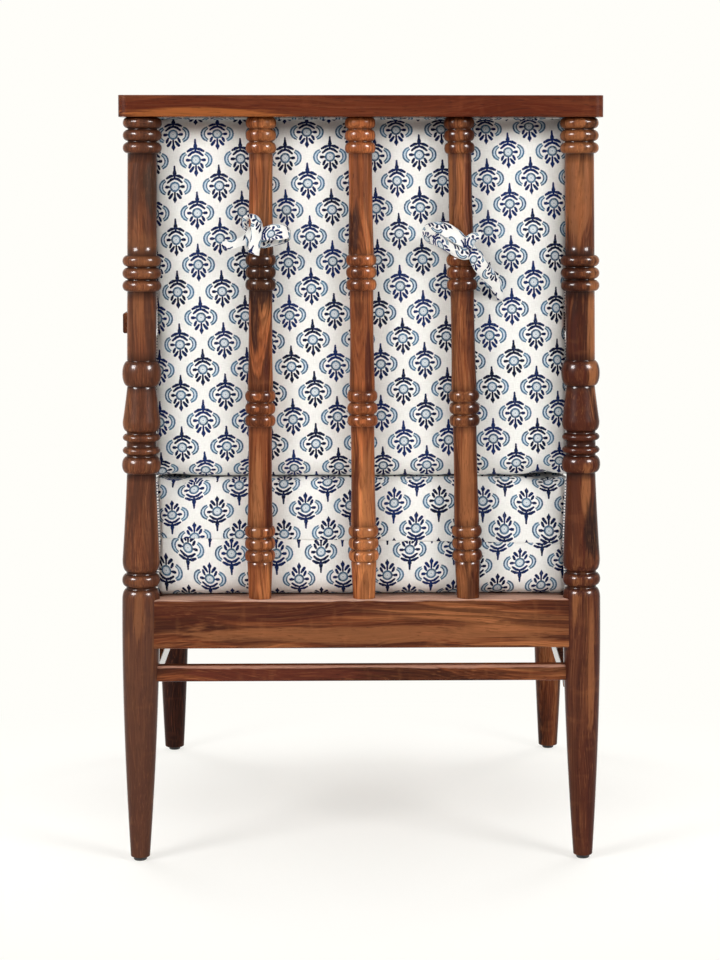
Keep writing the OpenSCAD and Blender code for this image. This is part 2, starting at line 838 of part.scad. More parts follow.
module corner_block(y, outward) {
    x = rail_mid_x + rail_t;
    color(pale_wood) difference() {
        translate([0, 0, block_z]) linear_extrude(block_h) polygon([
            [side_inner_back_x - block_side, y], [x, y], [x, y - outward * block_side],
            [side_inner_back_x, y - outward * block_side]]);
        side_line(rail_mid_x, front_x) translate([-rail_t / 2, -2 * leg_depth, block_z - 1])
            cube([4 * rail_t, 4 * leg_depth, block_h + 2]);
        if (outward > 0) {
            back_post_solid(fit);
        } else {
            front_post_solid(fit);
        }
        corner_screw_pair(y, outward, fit);
        translate([block_screw_x, y - outward * (0.3 * block_side), block_z + block_h / 2])
            rotate([outward * 90, 0, 0]) cylinder(d = screw_head_d + 2, h = block_side, $fn = 32);
    }
}

module corner_block_back_left() {
    corner_block(back_y - rail_t / 2, 1);
}

module corner_block_back_right() {
    mirror([1, 0, 0]) corner_block(back_y - rail_t / 2, 1);
}

module corner_block_front_left() {
    corner_block(front_y + rail_t / 2, -1);
}

module corner_block_front_right() {
    mirror([1, 0, 0]) corner_block(front_y + rail_t / 2, -1);
}

module batten_screws() {
    color(steel) {
        batten_screw_row(back_y - rail_t / 2, 1);
        batten_screw_row(front_y + rail_t / 2, -1);
        side_batten_screws();
        mirror([1, 0, 0]) side_batten_screws();
    }
}

module deck_screws() {
    color(steel) deck_screw_set();
}

module corner_screws() {
    color(steel) {
        corner_screw_pair(back_y - rail_t / 2, 1);
        corner_screw_pair(front_y + rail_t / 2, -1);
    }
}

module at_feet() {
    for (side = [-1, 1]) {
        translate([side * back_foot_x, back_y, 0]) children();
        translate([side * front_x, front_y, 0]) children();
    }
}

module foot_glides() {
    recess = nail_head_t + 0.6;
    color(black) at_feet() rotate_extrude($fn = smooth) polygon([
        [nail_head_d / 2 + fit, 0], [glide_d / 2 - glide_bevel, 0], [glide_d / 2, glide_bevel],
        [glide_d / 2, glide_h], [nail_d / 2 + fit, glide_h], [nail_d / 2 + fit, recess],
        [nail_head_d / 2 + fit, recess]]);
}

module glide_nails() {
    color(steel) at_feet() rotate_extrude($fn = 32) polygon([
        [0, 0.6], [nail_head_d / 2, 0.6], [nail_head_d / 2, 0.6 + nail_head_t],
        [nail_d / 2, 0.6 + nail_head_t], [nail_d / 2, glide_h + nail_reach - 3],
        [0, glide_h + nail_reach]]);
}

// A cushion is a rounded outline in the YZ plane, carried along X between its side panels.
// Each outline point is [y, z, outward y, outward z], from half sizes and four corner radii.
depth_steps = 9;
height_steps = 5;
corner_n = 4;
function pad_corner(cy, cz, r, start) = [for (i = [0:corner_n])
    let (t = start + 90 * i / corner_n) [cy + r * cos(t), cz + r * sin(t), cos(t), sin(t)]];
function between(from, to, n) = [for (i = [1:n]) from + (to - from) * i / (n + 1)];
function pad_loop(pad, d) = let (
        a = pad[0] + d,
        b = pad[1] + d,
        rt = max(1, pad[2][0] + d),
        ft = max(1, pad[2][1] + d),
        fb = max(1, pad[2][2] + d),
        rb = max(1, pad[2][3] + d))
    concat(
        pad_corner(a - rt, b - rt, rt, 0), [for (y = between(a - rt, ft - a, depth_steps)) [y, b, 0, 1]],
        pad_corner(ft - a, b - ft, ft, 90), [for (z = between(b - ft, fb - b, height_steps)) [-a, z, -1, 0]],
        pad_corner(fb - a, fb - b, fb, 180), [for (y = between(fb - a, a - rb, depth_steps)) [y, -b, 0, -1]],
        pad_corner(a - rb, rb - b, rb, 270), [for (z = between(rb - b, b - rt, height_steps)) [a, z, 1, 0]]);
loop_n = 4 * (corner_n + 1) + 2 * depth_steps + 2 * height_steps;

// Rings of points on each side panel, as shares of its outline, and stations across the cushion.
cap_steps = [0.85, 0.4];
edge_steps = 4;
mid_steps = 10;

function dome(x) = pow(max(0, 1 - x * x), 0.75);

// A cushion is [half depth, half height, corner radii, [top bulge, front bulge, crown's place], half width].
function pad_point(pad, x, p) = let (
        w = dome(x / pad[4]),
        u = p[0] / pad[0],
        v = p[1] / pad[1],
        crown = pad[3][2],
        top = pad[3][0] * w * dome((u + crown) / (1 - crown)) * max(0, v),
        front = pad[3][1] * w * dome(v) * max(0, -u))
    [x, p[0] - front, p[1] + top];

function side_x(pad, p, inset) =
    pad[4] - inset - side_draw * (1 + dome(p[0] / pad[0])) / 2 * dome(p[1] / pad[1]);

function pad_level(pad, share, inset, set_back, sign) =
    [for (p = pad_loop(pad, -inset))
        pad_point(pad, sign * side_x(pad, p, set_back) * share, p)];

function cap_level(pad, shrink, sign) =
    [for (p = pad_loop(pad, -seam_r)) let (q = [p[0] * shrink, p[1] * shrink])
        pad_point(pad, sign * side_x(pad, q, 0), q)];

function pad_levels(pad) = concat(
    [for (k = [1, 0]) cap_level(pad, cap_steps[k], -1)],
    [for (i = [0:edge_steps]) let (t = 90 * i / edge_steps)
        pad_level(pad, 1, seam_r * (1 - sin(t)), seam_r * (1 - cos(t)), -1)],
    [for (i = [1:mid_steps - 1]) let (t = -1 + 2 * i / mid_steps)
        pad_level(pad, abs(t), 0, seam_r, t < 0 ? -1 : 1)],
    [for (i = [edge_steps:-1:0]) let (t = 90 * i / edge_steps)
        pad_level(pad, 1, seam_r * (1 - sin(t)), seam_r * (1 - cos(t)), 1)],
    [for (k = [0, 1]) cap_level(pad, cap_steps[k], 1)]);

module pad_solid(pad) {
    levels = pad_levels(pad);
    n = loop_n;
    m = len(levels);
    left = pad_point(pad, -side_x(pad, [0, 0], 0), [0, 0]);
    right = pad_point(pad, side_x(pad, [0, 0], 0), [0, 0]);
    points = concat([for (level = levels) each level], [left, right]);
    faces = concat(
        [for (k = [0:m - 2], i = [0:n - 1]) let (j = (i + 1) % n)
            each [[k * n + i, (k + 1) * n + i, (k + 1) * n + j], [k * n + i, (k + 1) * n + j, k * n + j]]],
        [for (i = [0:n - 1]) [i, (i + 1) % n, m * n]],
        [for (i = [0:n - 1]) [(m - 1) * n + (i + 1) % n, (m - 1) * n + i, m * n + 1]]);
    polyhedron(points, faces);
}

// Piping round both side panels, lying in the corner outside the rounded seam.
piping_sides = 6;
piping_off = (seam_r + piping_d / 2 + soft_gap) / sqrt(2);
module pad_piping(pad) {
    loop = pad_loop(pad, piping_off - seam_r);
    n = loop_n;
    s = piping_sides;
    for (sign = [-1, 1]) {
        points = [for (p = loop) let (
                x = sign * (side_x(pad, p, 0) - seam_r + piping_off),
                q = pad_point(pad, x, p))
            each [for (k = [0:s - 1]) let (t = 360 * k / s)
                q + piping_d / 2 * [sign * cos(t), sin(t) * p[2], sin(t) * p[3]]]];
        faces = [for (i = [0:n - 1], k = [0:s - 1]) let (
                j = (i + 1) % n, l = (k + 1) % s, a = i * s + k, b = j * s + k, c = j * s + l, d = i * s + l)
            each (sign > 0 ? [[a, b, c], [a, c, d]] : [[a, c, b], [a, d, c]])];
        polyhedron(points, faces);
    }
}

module foam_block(pad, extra = 0) {
    a = pad[0] - wadding_t;
    b = pad[1] - wadding_t;
    x = pad[4] - side_draw - wadding_t;
    translate([-x - extra, -a - extra, -b - extra])
        cube([2 * (x + extra), 2 * (a + extra), 2 * (b + extra)]);
}

// The seat cushion lies on the rails and reaches from the spindles to just past the front posts.
cushion_back_y = back_y - spindle_bead_d / 2 - 2 * soft_gap - 0.5;
pad_half_w = cushion_w / 2 - (piping_off - seam_r + piping_d / 2);
seat_half_d = (cushion_back_y - front_y + seat_cushion_ahead) / 2;
seat_mid = [0, cushion_back_y - seat_half_d, seat_z + soft_gap + 1 + seat_cushion_t / 2];
seat_pad = [seat_half_d, seat_cushion_t / 2, [seat_edge_r, seat_edge_r, seat_edge_r, seat_edge_r],
    [seat_crown, seat_front_bulge, 0.23], pad_half_w];

module seat_zip_place() {
    translate([0, cushion_back_y, seat_z + soft_gap + seat_zip_rise]) children();
}

module seat_cushion_cover() {
    color(cloth) difference() {
        translate(seat_mid) pad_solid(seat_pad);
        translate(seat_mid) foam_block(seat_pad, soft_gap);
        seat_zip_place() translate([-zip_len / 2 - soft_gap, -zip_channel, -zip_w / 2 - soft_gap])
            cube([zip_len + 2 * soft_gap, 2 * zip_channel, zip_w + 2 * soft_gap]);
    }
}

module seat_cushion_foam() {
    color(foam) translate(seat_mid) foam_block(seat_pad);
}

module seat_cushion_piping() {
    color(blue_cloth) translate(seat_mid) pad_piping(seat_pad);
}

module seat_cushion_zip() {
    color(cloth) seat_zip_place() translate([-zip_len / 2, soft_gap - zip_channel, -zip_w / 2])
        cube([zip_len, zip_t, zip_w]);
}

// The back cushion stands on the seat cushion and leans against the spindles.
seat_cushion_top = seat_mid[2] + seat_cushion_t / 2;
back_half_t = back_cushion_t / 2;
back_low_z = seat_cushion_top + soft_gap + 1.5;
back_high_z = total_h - back_cushion_drop - back_top_crown;
back_mid = [0, cushion_back_y - back_half_t, (back_low_z + back_high_z) / 2];
back_pad = [back_half_t, (back_high_z - back_low_z) / 2,
    [back_top_edge_r, back_edge_r, back_edge_r, back_edge_r],
    [back_top_crown, back_crown, 0], pad_half_w];

module back_zip_place() {
    translate([0, back_mid[1], back_low_z]) children();
}

module back_cushion_cover() {
    color(cloth) difference() {
        translate(back_mid) pad_solid(back_pad);
        translate(back_mid) foam_block(back_pad, soft_gap);
        back_zip_place() translate([-zip_len / 2 - soft_gap, -zip_w / 2 - soft_gap, -zip_channel])
            cube([zip_len + 2 * soft_gap, zip_w + 2 * soft_gap, 2 * zip_channel]);
    }
}

module back_cushion_foam() {
    color(foam) translate(back_mid) foam_block(back_pad);
}

module back_cushion_piping() {
    color(blue_cloth) translate(back_mid) pad_piping(back_pad);
}

module back_cushion_zip() {
    color(cloth) back_zip_place() translate([-zip_len / 2, -zip_w / 2, zip_channel - zip_t - soft_gap])
        cube([zip_len, zip_w, zip_t]);
}

// A tie is a cloth strip sewn to the back cushion, led round a spindle and tied in a bow behind it.
tie_z = top_group_z - spindle_group_pitch + group_h + tie_rise;
tie_r = spindle_swell_d / 2 + soft_gap;
tie_out = tie_r + tie_t + knot_d / 2 - 4;

module at_tie(i) {
    color(cloth) at_spindle(i) translate([0, 0, tie_z - seat_z]) children();
}

// The sewn root of the strip and its turn round the spindle.
module tie_turn() {
    root_y = spindle_bead_d / 2 + soft_gap;
    rotate_extrude($fn = 48) translate([tie_r, 0]) square([tie_t, tie_w]);
    translate([-tie_w, -root_y, 0]) cube([2 * tie_w, root_y - tie_r - 0.6, tie_w]);
}

// Whatever lies behind the spindle stays clear of it.
module behind_spindle() {
    difference() {
        children();
        translate([0, 0, -3 * knot_d]) cylinder(r = tie_r, h = 8 * knot_d, $fn = 48);
    }
}

// A flattened loop of the strip, starting at the knot and running along local +X.
module tie_loop(length, depth) {
    r = depth / 2;
    translate([0, 0, -tie_w / 2]) linear_extrude(tie_w) difference() {
        union() {
            translate([r, 0]) circle(r, $fn = 32);
            translate([length - r, 0]) circle(r, $fn = 32);
            translate([r, -r]) square([length - 2 * r, depth]);
        }
        translate([r, 0]) circle(r - tie_t, $fn = 32);
        translate([length - r, 0]) circle(r - tie_t, $fn = 32);
        translate([r, tie_t - r]) square([length - 2 * r, depth - 2 * tie_t]);
    }
}

// A hanging end of the strip.
module tie_end(length) {
    translate([0, -tie_t / 2, -tie_w / 2]) cube([length, tie_t, tie_w]);
}

module back_tie_left() {
    at_tie(-1) {
        tie_turn();
        behind_spindle() translate([4, tie_out, 12]) {
            sphere(d = knot_d, $fn = 32);
            rotate([0, 186, 0]) tie_loop(38, 9);
            rotate([0, 14, 0]) tie_end(36);
            rotate([0, -62, 0]) tie_loop(24, 10);
            rotate([0, 84, 0]) tie_end(25);
        }
    }
}

module back_tie_right() {
    at_tie(1) {
        tie_turn();
        behind_spindle() translate([-9, tie_out, 6]) {
            sphere(d = knot_d, $fn = 32);
            rotate([0, -22, 0]) tie_loop(52, 10);
            rotate([0, 205, 0]) tie_end(20);
            rotate([0, 128, 0]) tie_end(44);
            translate([-26, 0, -33]) rotate([0, 108, 0]) tie_end(30);
        }
    }
}

module back_spindle_left() {
    spindle(-1);
}

module back_spindle_middle() {
    spindle(0);
}

module back_spindle_right() {
    spindle(1);
}

back_post_left();
back_post_right();
top_rail();
back_spindle_left();
back_spindle_middle();
back_spindle_right();
back_seat_rail();
front_seat_rail();
side_seat_rail_left();
side_seat_rail_right();
front_post_left();
front_post_right();
arm_left();
arm_right();
back_stretcher();
front_stretcher();
side_stretcher_left();
side_stretcher_right();
seat_deck();
batten_back();
batten_front();
batten_left();
batten_right();
corner_block_back_left();
corner_block_back_right();
corner_block_front_left();
corner_block_front_right();
batten_screws();
deck_screws();
corner_screws();
foot_glides();
glide_nails();
seat_cushion_cover();
seat_cushion_foam();
seat_cushion_piping();
seat_cushion_zip();
back_cushion_cover();
back_cushion_foam();
back_cushion_piping();
back_cushion_zip();
back_tie_left();
back_tie_right();
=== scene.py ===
import math
import bpy
import bmesh
import numpy as np
from mathutils import Matrix, Vector


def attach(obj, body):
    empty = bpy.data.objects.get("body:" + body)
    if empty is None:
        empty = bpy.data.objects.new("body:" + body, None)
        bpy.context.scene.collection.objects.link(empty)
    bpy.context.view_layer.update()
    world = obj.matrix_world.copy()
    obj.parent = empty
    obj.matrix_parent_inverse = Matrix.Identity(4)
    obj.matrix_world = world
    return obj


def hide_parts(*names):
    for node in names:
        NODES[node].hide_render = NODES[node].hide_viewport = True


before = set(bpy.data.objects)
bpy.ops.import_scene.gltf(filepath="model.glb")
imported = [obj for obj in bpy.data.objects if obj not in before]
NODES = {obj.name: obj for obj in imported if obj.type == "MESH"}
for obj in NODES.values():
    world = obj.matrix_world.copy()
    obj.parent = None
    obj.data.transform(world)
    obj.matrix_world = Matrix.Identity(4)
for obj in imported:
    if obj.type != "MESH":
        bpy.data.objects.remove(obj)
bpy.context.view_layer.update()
MM = 0.001

# Sizes in millimetres, as in the part's source.
TOTAL_H, TOP_RAIL_T, SEAT_Z = 970.0, 27.0, 336.0
BACK_Y, FRONT_Y = 298.0, -292.0
BACK_FOOT_X, BACK_TOP_X, FRONT_X = 282.5, 273.5, 284.5
TOP_RAIL_Z = TOTAL_H - TOP_RAIL_T
LEAN = math.atan((BACK_FOOT_X - BACK_TOP_X) / TOTAL_H)
BEAD_D, COLUMN_D, NECK_D, LEG_D = 49.0, 37.0, 37.5, 47.6
BACK_FOOT_D, FRONT_FOOT_D, GLIDE_H = 24.8, 28.8, 4.6
BEAD_H, BEAD_PITCH = 14.0, 15.6
GROUP_H = 2 * BEAD_PITCH + BEAD_H
SHOULDER_Z, NECK_H = SEAT_Z + 12.5, 3.4
LOW_BEAD_Z, LOW_BEAD_H = SHOULDER_Z + NECK_H, 15.6
FLARE_Z, FLARE_H, FLARE_ROUND = LOW_BEAD_Z + LOW_BEAD_H + NECK_H, 123.0, 14.0
FAT_Z, FAT_H = FLARE_Z + FLARE_H + NECK_H / 2, 21.0
THIN_Z, THIN_H, COVE_H = FAT_Z + FAT_H + NECK_H, 8.8, 7.6
THIN2_Z = THIN_Z + THIN_H + COVE_H
BELL_Z, BELL_H, BELL_ROUND = THIN2_Z + THIN_H + NECK_H, 57.0, 11.0
BALL_Z, BALL_H = BELL_Z + BELL_H, 32.0
ARM_Z = BALL_Z + BALL_H + 34.5
ARM_T = 25.5
MID_Z = ARM_Z + ARM_T + 27.5
TOP_Z = TOP_RAIL_Z - GROUP_H
SPINDLE_D, SPINDLE_BEAD_D, SPINDLE_SWELL_D, SPINDLE_FOOT_D = 30.0, 38.6, 32.4, 28.4
SPINDLE_TOP_X, SPINDLE_TOP_GAP, SPINDLE_FOOT_X, SPINDLE_FOOT_GAP = 1.5, 124.0, -3.0, 132.0
LOW_RISE = 47.0
SPINDLE_PITCH = (TOP_Z - SEAT_Z - LOW_RISE) / 3
CUSHION_BACK = BACK_Y - SPINDLE_BEAD_D / 2 - 1.1
# A turned piece's ends go this far into the wood they meet.
BITE = 0.6


def spindle_x(i, z):
    """X of a spindle's axis at height z; i is -1 for the left, 0 for the middle and 1 for the right one."""
    top, foot = SPINDLE_TOP_X - i * SPINDLE_TOP_GAP, SPINDLE_FOOT_X - i * SPINDLE_FOOT_GAP
    return foot + (top - foot) * (z - SEAT_Z) / (TOP_RAIL_Z - SEAT_Z)


# Node helpers
# Outputs of the Texture Coordinate and Geometry nodes.
UV, OBJECT, NORMAL = 2, 3, 1


class Net:
    """Builds the nodes of a material or of the world: each call makes one node and returns its output."""

    def __init__(self, name, owner=None):
        self.mat = owner or bpy.data.materials.new(name)
        self.mat.use_nodes = True
        self.t = self.mat.node_tree

    def put(self, socket, value):
        if isinstance(value, bpy.types.NodeSocket):
            self.t.links.new(value, socket)
        elif value is not None:
            socket.default_value = value

    def outputs(self, kind, inputs=(), **props):
        n = self.t.nodes.new("ShaderNode" + kind)
        for k, v in props.items():
            setattr(n, k, v)
        for k, v in dict(inputs).items():
            self.put(n.inputs[k], v)
        return n.outputs

    def node(self, kind, inputs=(), out=0, **props):
        return self.outputs(kind, inputs, **props)[out]

    def math(self, op, a, b=None, c=None, clamp=False):
        return self.node("Math", {0: a, 1: b, 2: c}, operation=op, use_clamp=clamp)

    def add(self, a, b):
        return self.math("ADD", a, b)

    def sub(self, a, b):
        return self.math("SUBTRACT", a, b)

    def mul(self, a, b):
        return self.math("MULTIPLY", a, b)

    def less(self, a, b):
        return self.math("LESS_THAN", a, b)

    def lo(self, a, b):
        return self.math("MINIMUM", a, b)

    def hi(self, a, b):
        return self.math("MAXIMUM", a, b)

    def vec(self, op, a, b=None, out=0):
        return self.node("VectorMath", {0: a, 1: b}, out, operation=op)

    def scaled(self, v, f):
        return self.node("VectorMath", {0: v, 3: f}, operation="SCALE")

    def swing(self, v, reach):
        """Turns chance values from 0 to 1 into shifts round 0."""
        return self.scaled(self.vec("SUBTRACT", v, (0.5, 0.5, 0.5)), reach)

    def split(self, v):
        return self.outputs("SeparateXYZ", {0: v})

    def mapping(self, v, place=(0, 0, 0), turn=(0, 0, 0), scale=(1, 1, 1)):
        return self.node("Mapping", {"Vector": v, "Location": place, "Rotation": turn, "Scale": scale})

    def noise(self, v, scale, detail=2.0, rough=0.5, out=0):
        return self.node("TexNoise", {"Vector": v, "Scale": scale, "Detail": detail, "Roughness": rough}, out)

    def grain(self, v, across, along, detail=2.0, rough=0.5, place=(0, 0, 0), out=0):
        """Noise drawn out along Z."""
        return self.noise(self.mapping(v, place, scale=(across, across, along)), 1.0, detail, rough, out)

    def ramp(self, f, lo, hi, a=0.0, b=1.0):
        return self.node("MapRange", {0: f, 1: lo, 2: hi, 3: a, 4: b}, interpolation_type="SMOOTHSTEP")

    def mix(self, f, a, b, blend="MIX"):
        return self.node("Mix", {0: f, 6: a, 7: b}, 2, data_type="RGBA", blend_type=blend)

    def over(self, base, *layers):
        """Lays colours over a base one after the other, each by its share."""
        for share, colour in layers:
            base = self.mix(share, base, colour)
        return base

    def colours(self, f, stops):
        out = self.node("ValToRGB", {0: f})
        e = out.node.color_ramp.elements
        while len(e) < len(stops):
            e.new(0.5)
        for k, (p, c) in enumerate(stops):
            e[k].position = p
            e[k].color = c
        return out

    def bump(self, height, strength, distance):
        return self.node("Bump", {"Height": height, "Strength": strength, "Distance": distance})

    def finish(self, colour, rough, normal, **fixed):
        s = self.t.nodes["Principled BSDF"].inputs
        for k, v in {"Base_Color": colour, "Roughness": rough, "Normal": normal, **fixed}.items():
            self.put(s[k.replace("_", " ")], v)
        return self.mat


def rgb(r, g, b):
    """A colour written as it looks, 0 to 255."""
    def lin(c):
        c /= 255
        return c / 12.92 if c <= 0.04045 else ((c + 0.055) / 1.055) ** 2.4
    return (lin(r), lin(g), lin(b), 1.0)


# Wood
X_GRAIN, Y_GRAIN = (0, math.pi / 2, 0), (math.pi / 2, 0, 0)


def wood(name, turn=(0, 0, 0), seed=0.0, tone=0.0, dark=0.5, pith=(0.03, -0.05), grey=0.0, finish_and_shade_in_grooves=False,
         gold=0.5, spots=()):
    """Oiled, lacquered sheesham whose grain runs along Z before turn is applied."""
    n = Net(name)
    here = n.node("TexCoord", out=OBJECT)
    p = n.mapping(here, (seed * 1.37, seed * 0.61, seed * 2.13), turn)
    # The tree's growth rings wander along the grain.
    q = n.vec("ADD", p, n.swing(n.grain(p, 9, 2.6, out=1), 0.07))
    px, py, _ = n.split(n.mapping(q, (pith[0] - seed * 1.37, pith[1] - seed * 0.61, 0)))
    ring = n.math("SQRT", n.add(n.mul(px, px), n.mul(py, py)))
    fine = n.grain(p, 60, 6, 3.0, 0.6)
    phase = n.add(n.mul(ring, 130.0), n.mul(fine, 2.0))
    band = n.math("FRACT", phase)
    tooth = n.mul(n.ramp(band, 0.0, 0.72), n.ramp(band, 1.0, 0.84))
    chance = n.node("TexWhiteNoise", {"W": n.add(n.math("FLOOR", phase), seed)}, noise_dimensions="1D")
    streak = n.mul(tooth, n.ramp(chance, 0.3, 0.8))
    # Fine rings follow the wide ones.
    rings = n.math("FRACT", n.add(n.mul(ring, 430.0), n.mul(fine, 3.0)))
    rings = n.mul(n.ramp(rings, 0.2, 0.75), n.ramp(rings, 1.0, 0.85))
    # Wide dark and light zones, long fibres and short open pores.
    zone = n.grain(q, 34, 2.4, 3.0, place=(3, 1, 2))
    light_zone = n.grain(q, 26, 2.6, place=(7, 5, 1))
    fibre = n.grain(p, 700, 12, 2.0, 0.6)
    line = n.grain(q, 210, 3.2, 2.0, 0.6, (1, 4, 0))
    pores = n.grain(p, 1400, 80, 1.0, 0.4, (2, 2, 0))
    curl = n.grain(p, 26, 70)
    dash = n.grain(q, 620, 11, 2.0, 0.6, (5, 2, 0))
    # Veins: long dark figure with one crisp edge.
    vein = n.grain(q, 75, 3.4, 1.0, 0.4, (9, 3, 4))
    vein = n.mul(n.ramp(vein, 0.53, 0.56), n.ramp(vein, 0.68, 0.58))

    def toned(r, g, b):
        return rgb(r + tone, g + tone * 0.65, b + tone * 0.38)
    base = n.over(
        n.colours(n.add(n.mul(light_zone, 0.85), n.add(n.mul(line, 0.2), n.mul(fibre, 0.24))),
                  [(0.56, toned(64, 28, 14)), (0.645, toned(106, 53, 28)), (0.73, toned(152, 93, 55))]),
        (n.mul(n.ramp(light_zone, 0.5, 0.68), gold), rgb(154, 96, 57)),
        (n.mul(streak, 0.68), rgb(54, 23, 12)),
        (n.mul(rings, 0.3), rgb(48, 21, 11)),
        (n.mul(n.ramp(zone, 0.58 - 0.12 * dark, 0.7), 0.25 + 0.5 * dark), rgb(46, 20, 11)),
        (n.mul(vein, 0.3 + 0.4 * dark), rgb(44, 19, 11)))
    # Spots of colour: mostly the wood's figure, but some are painted shade or painted highlights.
    for centre, reach, colour, strength in spots:
        near = n.vec("DIVIDE", n.vec("SUBTRACT", here, centre), reach)
        far = n.add(n.vec("LENGTH", near, out=1), n.mul(n.sub(line, 0.5), 1.6))
        base = n.mix(n.ramp(far, 0.7, 1.15, strength, 0.0), base, colour)
    darker = min(tone, 0)
    pale = rgb(166 + darker, 104 + darker, 62 + darker * 0.6)
    base = n.over(
        base,
        (n.mul(n.ramp(line, 0.54, 0.68), 0.3), rgb(44, 20, 11)),
        (n.mul(n.ramp(dash, 0.52, 0.72), 0.22), rgb(42, 19, 10)),
        (n.mul(n.ramp(dash, 0.47, 0.3), 0.22), pale),
        (n.mul(n.ramp(curl, 0.55, 0.75), 0.1), pale),
        (n.ramp(pores, 0.66, 0.71, 0.0, 0.6), rgb(32, 15, 9)))
    if grey:
        base = n.mix(grey, base, rgb(84, 56, 42))
    if finish_and_shade_in_grooves:
        # Painted shade in the grooves between turnings, partly the finish that builds up there, darkens the
        # wood.
        groove = n.node("Attribute", out=2, attribute_name="groove")
        base = n.mix(n.mul(groove, 0.75), base, rgb(30, 14, 10))
    rough = n.add(n.ramp(fibre, 0.2, 0.8, 0.3, 0.4), n.ramp(pores, 0.66, 0.71, 0.0, 0.2))
    height = n.add(n.mul(fibre, 0.25), n.ramp(pores, 0.665, 0.7, 0.0, -1.0))
    # The lacquer mirrors the room only at a flat angle, and tops that face up are rubbed down to a satin.
    flat_angle = n.node("LayerWeight", {"Blend": 0.5}, 1)
    up = n.split(n.node("NewGeometry", out=NORMAL))[2]
    gloss = n.mul(n.ramp(flat_angle, 0.66, 0.84, 0.2, 1.0), n.ramp(up, 0.75, 0.97, 1.0, 0.03))
    return n.finish(base, rough, n.bump(height, 0.22, 0.0002), Coat_Weight=gloss, Coat_Roughness=0.16,
                    Coat_IOR=1.4, IOR=1.45, Specular_IOR_Level=n.ramp(up, 0.75, 0.97, 0.03, 0.002))


def plain_wood(name, colour, dark, turn, layers=0.0):
    """Unfinished wood; layers is the thickness of a plywood's two veneers, in metres."""
    n = Net(name)
    here = n.node("TexCoord", out=OBJECT)
    p = n.mapping(here, turn=turn)
    fibre = n.grain(p, 800, 20)
    f = n.add(n.mul(n.grain(p, 60, 4, 3.0, 0.6), 0.7), n.mul(fibre, 0.3))
    base = n.colours(f, [(0.35, dark), (0.6, colour)])
    if layers:
        ply = n.math("FRACT", n.mul(n.split(here)[2], 1 / layers))
        up = n.math("ABSOLUTE", n.split(n.node("NewGeometry", out=NORMAL))[2])
        base = n.mix(n.mul(n.less(ply, 0.5), n.less(up, 0.5)), base, dark, "MULTIPLY")
    return n.finish(base, n.ramp(fibre, 0.2, 0.8, 0.55, 0.72), n.bump(fibre, 0.25, 0.0002))


# Block-printed cotton
# The flower's pitch across and up, in millimetres, and the weave's and the piping's stripes, in metres.
FLOWER_W, FLOWER_H = 55.7, 65.2
WEAVE, STRIPE = 0.00042, 0.0036
# The flower's brush marks, mirrored at x = 0: start, end and the half width at both, in millimetres.
MARKS = (
    ((0, -25.4), (0, -20.5), 0.95, 1.4), ((0, -20.5), (0, -17.0), 1.4, 2.4),
    ((0, -17.0), (0, -14.4), 2.4, 2.0), ((0, -14.4), (0, -10.6), 1.3, 1.1),
    ((2.2, -13.9), (5.6, -13.2), 1.3, 1.85), ((5.6, -13.2), (10.0, -10.9), 1.85, 1.25),
    ((0, -10.5), (4.4, -9.2), 1.3, 1.65), ((4.4, -9.2), (8.9, -5.5), 1.65, 1.15),
    ((6.6, 0), (9.3, 0), 0.8, 1.75), ((9.3, 0), (11.0, 0), 1.75, 1.7),
    ((0, 7.4), (0, 13.0), 1.05, 1.15), ((0, 13.0), (0, 16.0), 1.3, 2.5), ((0, 16.0), (0, 20.2), 2.5, 0.4),
    ((3.0, 8.8), (4.7, 11.2), 1.15, 1.75), ((4.7, 11.2), (6.8, 13.7), 1.75, 1.8),
    ((6.3, 4.9), (7.5, 7.0), 1.2, 1.7), ((7.5, 7.0), (8.4, 9.4), 1.7, 1.3))


def stroke(n, p, a, b, ra, rb):
    """Signed distance to a tapered brush mark from a to b, in the units of p."""
    dx, dy = b[0] - a[0], b[1] - a[1]
    rel = n.vec("SUBTRACT", p, (*a, 0))
    t = n.math("MULTIPLY", n.vec("DOT_PRODUCT", rel, (dx, dy, 0), 1), 1 / (dx * dx + dy * dy), clamp=True)
    d = n.vec("DISTANCE", rel, n.scaled((dx, dy, 0), t), 1)
    return n.sub(d, n.math("MULTIPLY_ADD", t, rb - ra, ra))


def band_of(n, d, r, half):
    """Signed distance to a ring of radius r and half width half."""
    return n.sub(n.math("ABSOLUTE", n.sub(d, r)), half)


